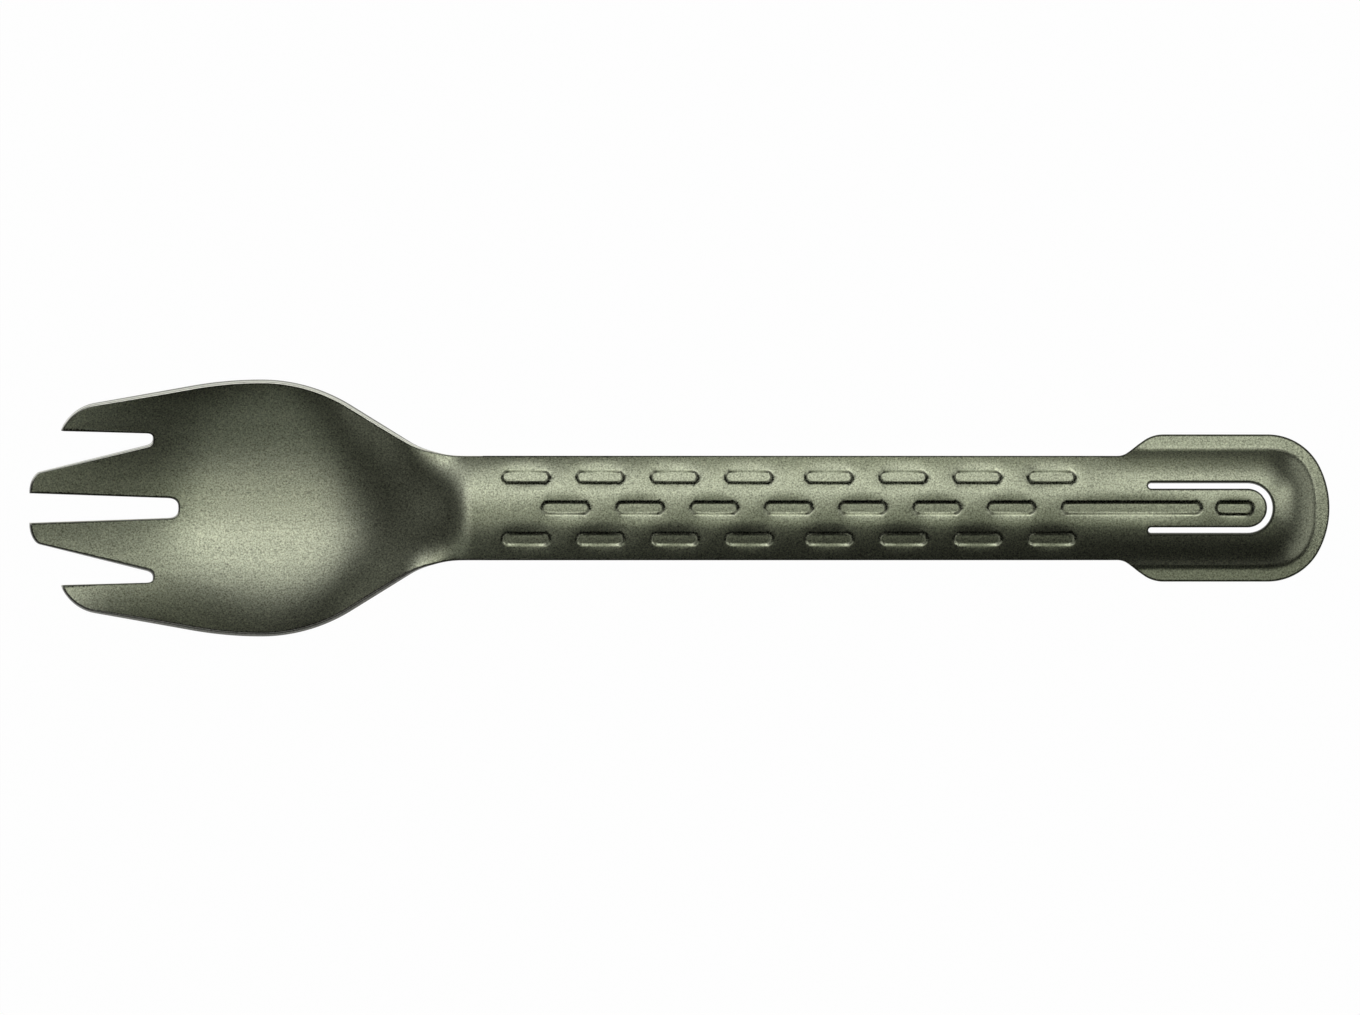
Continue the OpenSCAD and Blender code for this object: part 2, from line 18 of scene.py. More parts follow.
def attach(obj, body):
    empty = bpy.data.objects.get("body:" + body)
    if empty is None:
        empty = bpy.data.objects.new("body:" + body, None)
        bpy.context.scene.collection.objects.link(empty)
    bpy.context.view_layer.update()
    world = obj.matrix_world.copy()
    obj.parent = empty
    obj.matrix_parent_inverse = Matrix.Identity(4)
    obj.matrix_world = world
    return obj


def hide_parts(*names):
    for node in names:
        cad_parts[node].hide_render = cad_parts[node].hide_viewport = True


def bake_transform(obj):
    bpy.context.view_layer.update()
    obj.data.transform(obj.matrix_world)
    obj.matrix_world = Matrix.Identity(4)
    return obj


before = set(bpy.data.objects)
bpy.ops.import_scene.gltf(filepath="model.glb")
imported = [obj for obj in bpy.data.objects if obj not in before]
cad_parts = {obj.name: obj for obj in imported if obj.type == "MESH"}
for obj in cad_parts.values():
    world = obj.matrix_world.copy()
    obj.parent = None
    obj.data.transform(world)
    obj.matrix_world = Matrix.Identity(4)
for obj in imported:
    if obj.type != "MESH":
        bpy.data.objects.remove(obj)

Array = np.ndarray
LOG = logging.getLogger("spork")
MM = 0.001
# Keeps a divisor above nought
TINY = 1e-6
# Parts the two whole numbers in the key of a point
KEY_STRIDE = 2**24
# Attribute of a mesh that holds painted shade and painted highlight: how dark a place is painted, where
# below nought is bright
PAINTED_LIGHT = "painted_light"


class Zone(IntEnum):
    """Which finish a face of the sheet takes, as the index of its material slot."""

    FACE = 0
    CUT_EDGE = 1


def mix(a: Array | float, b: Array | float, u: Array | float) -> Array | float:
    """The value a share u of the way from a to b."""
    return a + (b - a) * u


def smooth(u: Array | float) -> Array:
    """An even ease from 0 to 1: 3 u squared less 2 u cubed, held flat outside."""
    v = np.clip(u, 0.0, 1.0)
    return v * v * (3.0 - 2.0 * v)


def root(v: Array | float) -> Array:
    """Square root that takes anything below nought as nought."""
    return np.sqrt(np.maximum(v, 0.0))


def runs(stops: Sequence[float], counts: Sequence[int]) -> Array:
    """Evenly divided runs between stops, joined end to end.

    Args:
        stops: Places where the spacing may change.
        counts: Number of cells in each run.

    Returns:
        All the places, each stop once.
    """
    parts = [np.linspace(a, b, n + 1)[1:] for a, b, n in zip(stops[:-1], stops[1:], counts)]
    return np.concatenate([[stops[0]], *parts])


def lattice(s: Array, y: Array) -> Array:
    """Grid of places on the plan: places along and across, each repeated to fit the other."""
    return np.stack(np.broadcast_arrays(s, y), axis=2)


def maths(
    tree: bpy.types.NodeTree, operation: str, *values: bpy.types.NodeSocket | float
) -> bpy.types.NodeSocket:
    """Adds a Math node.

    Args:
        tree: Nodes of a material or of the world.
        operation: What the node works out.
        values: The sockets or numbers that it takes, in order.

    Returns:
        Its result.
    """
    node = tree.nodes.new("ShaderNodeMath")
    node.operation = operation
    for entry, value in zip(node.inputs, values):
        if isinstance(value, bpy.types.NodeSocket):
            tree.links.new(value, entry)
        else:
            entry.default_value = value
    return node.outputs["Value"]


def window(
    tree: bpy.types.NodeTree, value: bpy.types.NodeSocket, ends: tuple[float, float], level: float = 1.0
) -> bpy.types.NodeSocket:
    """Adds a Map Range node that eases a value from 0 to a level.

    Args:
        tree: Nodes of a material or of the world.
        value: What it goes by.
        ends: Where the value gives 0 and where it gives the level.
        level: The level.

    Returns:
        Its result, held flat outside the two ends.
    """
    node = tree.nodes.new("ShaderNodeMapRange")
    node.interpolation_type = "SMOOTHSTEP"
    node.inputs["From Min"].default_value, node.inputs["From Max"].default_value = ends
    node.inputs["To Max"].default_value = level
    tree.links.new(value, node.inputs["Value"])
    return node.outputs["Result"]


@dataclass(frozen=True)
class SheetForm:
    """Shape of the pressed sheet: its outline in plan and the height of its upper face."""

    sheet_t: float = 1.0
    bowl_w: float = 39.75
    bowl_at: float = 35.5
    bowl_depth: float = 5.5
    bowl_r: float = 25.3
    flank_r: float = 60.0
    flank_angle: float = np.radians(10.2)
    neck_angle: float = np.radians(31.8)
    neck_r: float = 16.0
    neck_run: float = 3.4
    tine_rise: float = 0.25
    dish_run_share: float = 0.39
    dish_power: float = 4.5
    neck_power: float = 2.1
    neck_top_back: float = 1.5
    handle_w: float = 16.3
    handle_len: float = 95.0
    arch_r: float = 18.0
    tail_len: float = 35.5
    tail_w: float = 22.75
    flange_w: float = 1.75
    end_flange_w: float = 1.85
    flange_droop: float = np.radians(4.5)
    dome_angle: float = np.radians(37.5)
    dome_fillet: float = 1.8
    crown_angle: float = np.radians(16.0)
    dome_turn_share: float = 0.9
    dome_power: float = 2.5
    tail_corner_r: float = 9.0
    tail_end_r: float = 14.2
    shoulder_angle: float = np.radians(35.0)
    shoulder_in_r: float = 3.0
    shoulder_out_r: float = 5.0
    shoulder_at: float = 2.7
    slot_start: float = 7.4
    bead_w: float = 1.45
    bead_len: float = 6.7
    bead_depth: float = 0.40
    bead_outer_depth: float = 0.30
    bead_soft: tuple[float, float] = (0.26, 2.3)
    bead_soft_fade: float = 0.7
    bead_crisp_w: float = 0.55
    # Painted highlight on one side of each bead, and painted shade broadened round its +X end
    bead_painted_highlight: float = 0.5
    end_painted_shade: float = 0.4
    end_painted_shade_run: float = 0.25
    bead_pitch: float = 11.43
    row_pitch: float = 4.85
    bead_margin: float = 3.25
    bead_extra: float = 0.9
    row_shift: float = 6.1
    outer_beads: int = 8
    long_bead_past: float = 15.25
    tongue_w: float = 6.05
    tongue_gap: float = 0.95
    tongue_tip_back: float = 9.8
    dimple_len: float = 5.1
    dimple_back: float = 2.5
    dimple_depth: float = 0.55
    dimple_soft: tuple[float, float] = (0.2, 1.3)
    slope_step: float = 0.02

    @cached_property
    def flank_end(self) -> float:
        """Place along where the straight flank runs into the front arc."""
        return self.bowl_at - self.flank_r * np.sin(self.flank_angle)

    @cached_property
    def narrow_from(self) -> float:
        """Place along where the rear arc of the bowl ends."""
        return self.bowl_at + self.bowl_r * np.sin(self.neck_angle)

    @cached_property
    def narrow_from_y(self) -> float:
        """Half width at that place."""
        return self.bowl_w / 2 - self.bowl_r * (1 - np.cos(self.neck_angle))

    @cached_property
    def narrow_to(self) -> float:
        """Place along where the straight narrowing meets the arc of the neck."""
        low = self.handle_w / 2 + self.neck_r * (1 - np.cos(self.neck_angle))
        return self.narrow_from + (self.narrow_from_y - low) / np.tan(self.neck_angle)

    @cached_property
    def neck_end(self) -> float:
        """Place along where the arc of the neck ends."""
        return self.narrow_to + self.neck_r * np.sin(self.neck_angle)

    @cached_property
    def handle_from(self) -> float:
        """Start of the handle."""
        return self.neck_end + self.neck_run

    @cached_property
    def handle_to(self) -> float:
        """End of the handle."""
        return self.handle_from + self.handle_len

    @cached_property
    def bend_end(self) -> float:
        """End of the soft bend from the handle to the level tail, where the tongue's slot starts."""
        return self.handle_to + self.slot_start

    @cached_property
    def length(self) -> float:
        """Length of the whole spork."""
        return self.handle_to + self.tail_len

    @cached_property
    def tongue_mid(self) -> float:
        """Place along of the centre of the tongue's round tip."""
        return self.length - self.tongue_tip_back - self.tongue_w / 2

    @cached_property
    def dome_foot(self) -> float:
        """Half width of the dome where it meets the flange."""
        return self.tail_w / 2 - self.flange_w

    @cached_property
    def toe(self) -> float:
        """Half width at which the fillet under the dome would run level; it stops short of that, at the
        foot, where its slope is the flange's."""
        return self.dome_foot + self.dome_fillet * np.sin(self.flange_droop)

    @cached_property
    def dome_parts(self) -> tuple[float, float, float, float, float]:
        """Works out the arcs of the dome's section.

        Returns:
            Crown half width and drop, wall half width, wall radius, and drop of the level fillet.
        """
        crown_y = self.arch_r * np.sin(self.crown_angle)
        crown_drop = self.arch_r * (1 - np.cos(self.crown_angle))
        wall_y = self.toe - self.dome_fillet * np.sin(self.dome_angle)
        wall_r = (wall_y - crown_y) / (np.sin(self.dome_angle) - np.sin(self.crown_angle))
        wall_drop = wall_r * (np.cos(self.crown_angle) - np.cos(self.dome_angle))
        height = crown_drop + wall_drop + self.dome_fillet * (1 - np.cos(self.dome_angle))
        return crown_y, crown_drop, wall_y, wall_r, height

    @cached_property
    def crown_low(self) -> float:
        """Height of the level crown of the tail, whose flange lies on the table with its rim."""
        return self.sheet_t + float(self.dome_drop(np.array(self.tail_w / 2)))

    @cached_property
    def arch_h(self) -> float:
        """Rise of the handle's arch over its edges."""
        return self.arch_r - float(root(self.arch_r**2 - self.handle_w**2 / 4))

    @cached_property
    def edge_slope(self) -> float:
        """Slope of the straight line of the edges, from the tail up to the tines."""
        run = (self.bend_end - self.handle_to) / 2 + self.handle_to - self.bowl_at
        return (self.sheet_t + self.bowl_depth - self.crown_low + self.arch_h) / run

    def crown(self, s: Array) -> Array:
        """Height of the crown line: a straight slope that a parabola eases into the level tail.

        Args:
            s: Places along.

        Returns:
            Heights there.
        """
        bend = self.bend_end - self.handle_to
        eased = self.edge_slope * np.clip(self.bend_end - s, 0, bend) ** 2 / (2 * bend)
        return self.crown_low + eased + self.edge_slope * np.maximum(self.handle_to - s, 0)

    def centre(self, s: Array) -> Array:
        """Height of the centre line: a straight rise up the tines eased into the flat of the bowl by a root
        of 1 plus a power, then an ease up the neck to the crown whose share of the way goes with a power.

        Args:
            s: Places along.

        Returns:
            Heights there.
        """
        run, p = self.bowl_at * self.dish_run_share, self.dish_power
        u = np.maximum(self.bowl_at - s, 0) / run
        dish = self.sheet_t + self.tine_rise * run * ((1 + u**p) ** (1 / p) - 1)
        climb = self.handle_from - self.neck_top_back - self.bowl_at
        share = smooth((np.maximum(s - self.bowl_at, 0) / climb) ** self.neck_power)
        return np.where(s < self.bowl_at, dish, mix(self.sheet_t, self.crown(s), share))

    def outline(self, s: Array) -> Array:
        """Half width of the head: straight flank, two arcs about the widest place, straight, arc, handle.

        Args:
            s: Places along.

        Returns:
            Half widths there.
        """
        half = self.bowl_w / 2
        flank_y = half - self.flank_r * (1 - np.cos(self.flank_angle))
        stops = (self.flank_end, self.bowl_at, self.narrow_from, self.narrow_to, self.neck_end)
        return np.select(
            [s < stop for stop in stops],
            [
                flank_y + (s - self.flank_end) * np.tan(self.flank_angle),
                half - self.flank_r + root(self.flank_r**2 - (s - self.bowl_at) ** 2),
                half - self.bowl_r + root(self.bowl_r**2 - (s - self.bowl_at) ** 2),
                self.narrow_from_y - (s - self.narrow_from) * np.tan(self.neck_angle),
                self.handle_w / 2 + self.neck_r - root(self.neck_r**2 - (self.neck_end - s) ** 2),
            ],
            self.handle_w / 2,
        )

    def head_bend(self, s: Array, w: Array) -> Array:
        """Curvature of the arc of a circle that joins the two edges and the centre line of a section."""
        sag = self.centre(s) - self.crown(s) + self.arch_h
        return 2 * sag / (w * w + sag * sag)

    def head_edge(self, s: Array) -> Array:
        """Half width of the upper face: the cut edge is square to the sheet, so it is inside the outline."""
        w = self.outline(s)
        return w + self.sheet_t * np.minimum(0, self.head_bend(s, w) * w)

    def head_height(self, s: Array, y: Array) -> Array:
        """Upper face of the head: each section is an arc of a circle on the line of the edges.

        Args:
            s: Places along.
            y: Places across.

        Returns:
            Heights there.
        """
        w = self.head_edge(s)
        k = self.head_bend(s, w)
        arc = root(1 - (k * y) ** 2) + root(1 - (k * w) ** 2)
        return self.crown(s) - self.arch_h + k * (w * w - y * y) / np.maximum(arc, TINY)

    def end_share(self, s: Array) -> Array:
        """How far a place along has gone round the end of the dome, 0 before it and 1 at its foot."""
        turn = self.dome_foot * self.dome_turn_share
        return np.maximum(0, s - (self.length - self.end_flange_w) + turn) / turn

    def dome_drop(self, q: Array) -> Array:
        """Drop of the dome: arch, tighter wall, fillet, straight flange.

        Args:
            q: Distances from its ridge.

        Returns:
            Drops there.
        """
        crown_y, crown_drop, wall_y, wall_r, height = self.dome_parts
        reach = q - crown_y + wall_r * np.sin(self.crown_angle)
        return np.select(
            [q < crown_y, q < wall_y, q < self.dome_foot],
            [
                self.arch_r - root(self.arch_r**2 - q * q),
                crown_drop + wall_r * np.cos(self.crown_angle) - root(wall_r**2 - reach**2),
                height - self.dome_fillet + root(self.dome_fillet**2 - (self.toe - q) ** 2),
            ],
            height - self.dome_fillet * (1 - np.cos(self.flange_droop))
            + (q - self.dome_foot) * np.tan(self.flange_droop),
        )

    def tail_height(self, s: Array, y: Array) -> Array:
        """Upper face of the handle and tail: the arch turns into the dome and flange within the shoulder.

        Args:
            s: Places along.
            y: Places across.

        Returns:
            Heights there.
        """
        p = self.dome_power
        q = (np.abs(y) ** p + (self.dome_foot * self.end_share(s)) ** p) ** (1 / p)
        arch = self.arch_r - root(self.arch_r**2 - y * y)
        ease = smooth((s - self.handle_to) / self.slot_start)
        return self.crown(s) - mix(arch, self.dome_drop(q), ease)

    def tail_edge(self, s: Array) -> Array:
        """Half width of the tail up to its corners: handle, two arcs of the shoulder, straight side.

        Args:
            s: Places along.

        Returns:
            Half widths there.
        """
        a, half, wide = self.shoulder_angle, self.handle_w / 2, self.tail_w / 2
        in_y = half + self.shoulder_in_r * (1 - np.cos(a))
        out_y = wide - self.shoulder_out_r * (1 - np.cos(a))
        s0 = self.handle_to + self.shoulder_at
        s1 = s0 + self.shoulder_in_r * np.sin(a)
        s2 = s1 + (out_y - in_y) / np.tan(a)
        s3 = s2 + self.shoulder_out_r * np.sin(a)
        return np.select(
            [s < s0, s < s1, s < s2, s < s3],
            [
                np.full_like(s, half),
                half + self.shoulder_in_r - root(self.shoulder_in_r**2 - (s - s0) ** 2),
                in_y + (s - s1) * np.tan(a),
                wide - self.shoulder_out_r + root(self.shoulder_out_r**2 - (s3 - s) ** 2),
            ],
            wide,
        )

    @cached_property
    def beads(self) -> Array:
        """Lists the beads: the outer rows, the middle row and the dimple.

        Returns:
            A row for each: start and end of the middle line of its floor, place over the arch, depth of
            its floor at the inner and outer side, and depth and width of its soft wall.
        """
        i = np.arange(self.outer_beads)
        outer = self.handle_from + self.bead_margin + i * self.bead_pitch
        outer = outer + np.where(2 * i >= self.outer_beads, self.bead_extra, 0.0)
        middle = self.handle_from + self.bead_margin + self.row_shift + i * self.bead_pitch
        dimple = self.tongue_mid + self.tongue_w / 2 - self.dimple_back - self.dimple_len
        start = np.concatenate([outer, outer, middle, [dimple]])
        end = start + self.bead_len
        end[-2] = self.handle_to + self.long_bead_past
        end[-1] = dimple + self.dimple_len
        row = np.repeat([self.row_pitch, -self.row_pitch, 0.0], self.outer_beads)
        r = self.bead_w / 2
        wall = np.tile([self.bead_depth, self.bead_outer_depth, *self.bead_soft], (len(row) + 1, 1))
        wall[:-1][row == 0, 1] = self.bead_depth
        wall[-1] = self.dimple_depth, self.dimple_depth, *self.dimple_soft
        return np.column_stack([start + r, end - r, np.r_[row, 0.0], wall])

    def bead_walls(self, s: Array, y: Array) -> tuple[Array, Array, Array, Array]:
        """Soft and crisp parts of every bead's depth, and where a place lies beside its floor.

        A floor is level or tilts evenly from its inner to its outer side. The soft part of its depth is
        greatest halfway along the bead and less towards its ends by a parabola; the crisp part is the rest.
        Each part falls off beyond the floor with the square of the share of its wall that is left.

        Args:
            s: Places along.
            y: Places across.

        Returns:
            A row for each bead of its soft depth, its whole crisp depth, the distance from its floor as a
            share of the crisp wall's width, and the distance from its floor's middle line towards +Y as a
            share of its half width.
        """
        over = self.arch_r * np.arcsin(np.clip(y / self.arch_r, -1, 1))
        start, end, row, inner, outer, soft, soft_w = (column[:, None] for column in self.beads.T)
        half = self.bead_w / 2
        aside = (over - row) / half
        gap = np.maximum(np.hypot(s - np.clip(s, start, end), over - row) - half, 0)
        along = np.clip((s - (start + end) / 2) / ((end - start) / 2 + half), -1, 1)
        soft = soft * (1 - self.bead_soft_fade * along**2)
        floor = mix(inner, outer, (1 + np.clip(np.sign(row) * aside, -1, 1)) / 2)
        return soft * np.maximum(1 - gap / soft_w, 0) ** 2, floor - soft, gap / self.bead_crisp_w, aside

    def bead_drop(self, s: Array, y: Array) -> Array:
        """Depth of the beads: the sum of all their soft and crisp parts."""
        soft, crisp, climb, _ = self.bead_walls(s, y)
        return (soft + crisp * np.maximum(1 - climb, 0) ** 2).sum(axis=0)

    def painted_light(self, plan: Array) -> Array:
        """Painted shade on the crisp walls round the beads, with a painted highlight along one side.

        The painted shade is a parabola up the wall that is 1 halfway up it, and less where the wall is low.
        It is broader round the +X end. One side is a painted highlight instead: the outer side of the outer
        rows, the -Y side of the middle row, and no side of the dimple.

        Args:
            plan: Places along and across, one row each.

        Returns:
            How much painted shade there is, where below nought is painted highlight.
        """
        _, crisp, climb, aside = self.bead_walls(plan[:, 0], plan[:, 1])
        # Painted shade, broader past the +X end, turned to a painted highlight on one side of each bead
        past = (plan[:, 0] - self.beads[:, 1:2]) / self.bead_w
        climb = climb / (1 + self.end_painted_shade * smooth(past / self.end_painted_shade_run))
        highlight_side = np.where(self.beads[:, 2] > 0, 1.0, -1.0)
        highlight_side[-1] = 0.0
        shade_or_highlight = 1 - (1 + self.bead_painted_highlight) * smooth(highlight_side[:, None] * aside)
        whole = np.clip(crisp / (self.bead_depth - self.bead_soft[0]), 0, 1)
        return (4 * climb * np.maximum(1 - climb, 0) * whole * shade_or_highlight).sum(axis=0)

    def height(self, s: Array, y: Array) -> Array:
        """Upper face of the whole sheet, beads included."""
        base = np.where(s < self.handle_from, self.head_height(s, y), self.tail_height(s, y))
        return base - self.bead_drop(s, y)

    def lift(self, plan: Array) -> tuple[Array, Array]:
        """Carries places on the plan up to the upper face.

        Args:
            plan: Places along and across, one row each.

        Returns:
            Points in the frame in millimetres, and the normals there from central differences.
        """
        s, y, d = plan[:, 0], plan[:, 1], self.slope_step
        along = (self.height(s + d, y) - self.height(s - d, y)) / (2 * d)
        across = (self.height(s, y + d) - self.height(s, y - d)) / (2 * d)
        normals = np.stack([-along, -across, np.ones_like(s)], axis=1)
        normals /= np.linalg.norm(normals, axis=1, keepdims=True)
        return np.stack([s - self.length / 2, y, self.height(s, y)], axis=1), normals


@dataclass(frozen=True)
class Lanes:
    """Lines of mesh that run along the sheet on each side of its centre line."""

    form: SheetForm
    edge_r: float = 0.24
    rim_lane: float = 0.13
    band_w: float = 7.5
    handle_cells: tuple[int, ...] = (4, 3, 9, 3, 8, 3, 5, 1)
    tongue: int = 11
    band: int = 25
    inner_tine: int = 22
    outer_tine: int = 14

    @cached_property
    def handle(self) -> Array:
        """Sets out the handle, with lanes on the edges of the beads' floors and crisp walls.

        Returns:
            Places across.
        """
        form = self.form
        half, foot = form.bead_w / 2, form.bead_w / 2 + form.bead_crisp_w
        row = form.row_pitch
        arcs = np.array([0, half, foot, row - foot, row - half, row + half, row + foot])
        edge = form.handle_w / 2 - self.edge_r
        stops = np.r_[form.arch_r * np.sin(arcs / form.arch_r), edge - self.rim_lane, edge]
        return runs(stops, self.handle_cells)

    @cached_property
    def band_shares(self) -> Array:
        """Shares of the way from the tongue's slot to the rim of the tail, a band about band_w wide."""
        return self.shares(self.band, self.rim_lane / self.band_w)

    @staticmethod
    def shares(cells: int, rim: float) -> Array:
        """Even shares of the way from one rim to another but for a narrow cell along each rim."""
        return np.r_[0, np.linspace(rim, 1 - rim, cells - 1), 1]


@dataclass(frozen=True)
class Head:
    """Tines, bowl and neck of the plan, to one side of the centre line."""

    form: SheetForm
    lanes: Lanes
    middle_slot: tuple[float, float, float] = (22.6, 4.492, 2.902)
    outer_slot: tuple[float, float, float] = (18.8, 6.718, 1.654)
    outer_mid: tuple[float, float] = (8.526, 10.534)
    slot_round_share: float = 0.6
    slot_power: float = 2.6
    inner_tip_len: float = 1.4
    outer_tip_end: float = 10.0
    outer_tip_r: float = 7.0
    tine_root_share: float = 0.06
    join_at: float = 12.0
    rim_share: float = 0.02
    inner_tip_cells: int = 26
    outer_tip_cells: int = 20
    side_cells: int = 13
    slot_end_cells: int = 9
    between_cells: int = 4
    behind_cells: int = 2
    dish_cells: int = 97
    arc_steps: int = 4000

    @cached_property
    def tine_root(self) -> float:
        """Place along where the tines end and the bowl starts."""
        return self.middle_slot[0] * (1 + self.tine_root_share)

    def slot_half(self, s: Array, slot: tuple[float, float, float]) -> Array:
        """Half width of a slot grown by the radius of its edge: straight sides, then a superellipse.

        Args:
            s: Places along.
            slot: Its length, and its width at the mouth and at the root.

        Returns:
            Half widths there.
        """
        length, mouth, low = slot
        start, end = self.slot_round(slot)
        h = mix(mouth, low, s / length) / 2 + self.lanes.edge_r
        u = np.clip((s - start) / (end - start), 0, 1)
        return h * np.maximum(1 - u**self.slot_power, 0) ** (1 / self.slot_power)

    def slot_round(self, slot: tuple[float, float, float]) -> tuple[float, float]:
        """Start and end of the round root of a slot."""
        return slot[0] - slot[2] * self.slot_round_share, slot[0] + self.lanes.edge_r

    def mid(self, s: Array) -> Array:
        """Middle line of the outer slot, carried on behind its root."""
        return mix(self.outer_mid[0], self.outer_mid[1], s / self.outer_slot[0])

    def inner_sides(self, s: Array) -> tuple[Array, Array]:
        """Sides of the inner tine: the middle slot and the outer slot."""
        return self.slot_half(s, self.middle_slot), self.mid(s) - self.slot_half(s, self.outer_slot)

    def outer_sides(self, s: Array) -> tuple[Array, Array]:
        """Sides of the outer tine: the outer slot and the flank."""
        flank = self.form.head_edge(s) - self.lanes.edge_r
        return self.mid(s) + self.slot_half(s, self.outer_slot), flank

    @cached_property
    def root_stations(self) -> Array:
        """Sets out the tines from their straight part to the bowl, gathered round the slots' roots.

        Returns:
            Places along.
        """
        turn = np.linspace(0, np.pi / 2, self.slot_end_cells + 1)[1:]
        ease = np.sin(turn) ** (2 / self.slot_power)
        (a, b), (c, d) = self.slot_round(self.outer_slot), self.slot_round(self.middle_slot)
        return np.concatenate([
            np.linspace(self.join_at, a, self.side_cells + 1),
            mix(a, b, ease),
            np.linspace(b, c, self.between_cells + 1)[1:],
            mix(c, d, ease),
            np.linspace(d, self.tine_root, self.behind_cells + 1)[1:],
        ])

    def root_grid(self, sides: tuple[Array, Array], cells: int) -> Array:
        """Even lanes between two sides over the root stations."""
        v = self.lanes.shares(cells, self.rim_share)
        return lattice(self.root_stations[:, None], mix(sides[0][:, None], sides[1][:, None], v))

    def inner_tine(self) -> list[Array]:
        """Grids of the inner tine, whose tip is a quarter of an ellipse.

        Returns:
            The tip, with lanes gathered at its rounded corner, and the part to the bowl.
        """
        n = self.lanes.inner_tine
        u = np.r_[0, np.linspace(self.rim_share / 2, 1, self.inner_tip_cells + 1)][:, None]
        j = np.arange(n + 1) / n
        v = mix(np.sin(j * np.pi / 2), self.lanes.shares(n, self.rim_share), smooth(u))
        tip = self.lanes.edge_r + self.inner_tip_len * (1 - np.cos(j * np.pi / 2))
        s = mix(tip, self.join_at, u)
        low, high = self.inner_sides(s)
        return [lattice(s, mix(low, high, v)), self.root_grid(self.inner_sides(self.root_stations), n)]

    def outer_tine(self) -> list[Array]:
        """Grids of the outer tine, whose tip is an arc that runs into the flank.

        Returns:
            The tip, each lane straight from the arc to the join, and the part to the bowl.
        """
        form, r = self.form, self.outer_tip_r - self.lanes.edge_r
        end = np.array(self.outer_tip_end)
        mid_s = end + self.outer_tip_r * np.sin(form.flank_angle)
        mid_y = form.outline(end) - self.outer_tip_r * np.cos(form.flank_angle)
        turn = np.linspace(0, np.pi / 2 - form.flank_angle, self.arc_steps)
        s = mid_s - r * np.cos(turn)
        y = (mid_y + r * np.sin(turn)) * form.head_edge(s) / form.outline(s)
        start = int(np.argmax(y > self.outer_sides(s)[0]))
        n = self.lanes.outer_tine
        at = np.linspace(start, len(turn) - 1, n + 1).round().astype(int)
        low, high = self.outer_sides(np.array([self.join_at]))
        u = np.r_[0, np.linspace(self.rim_share, 1, self.outer_tip_cells + 1)][:, None]
        far_y = mix(low, high, self.lanes.shares(n, self.rim_share))
        tip = lattice(mix(s[at], self.join_at, u), mix(y[at], far_y, u))
        return [tip, self.root_grid(self.outer_sides(self.root_stations), n)]

    def dish(self) -> Array:
        """Sets out the bowl and neck: lanes keep their shares of the width, which ease from those of the
        tines to those of the handle.

        Returns:
            The grid.
        """
        form, r = self.form, self.lanes.edge_r
        a = np.array(self.tine_root)
        edge = form.head_edge(a) - r
        inner = self.mid(a) * self.lanes.shares(self.lanes.inner_tine, self.rim_share)
        outer = mix(self.mid(a), edge, self.lanes.shares(self.lanes.outer_tine, self.rim_share))[1:]
        s = np.linspace(self.tine_root, form.handle_from, self.dish_cells + 1)[:, None]
        ease = smooth((s - form.bowl_at) / (form.handle_from - form.bowl_at))
        shares = mix(np.r_[inner, outer] / edge, self.lanes.handle / self.lanes.handle[-1], ease)
        return lattice(s, shares * (form.head_edge(s) - r))

    def grids(self) -> list[Array]:
        """Every grid of the head on one side."""
        return [*self.inner_tine(), *self.outer_tine(), self.dish()]


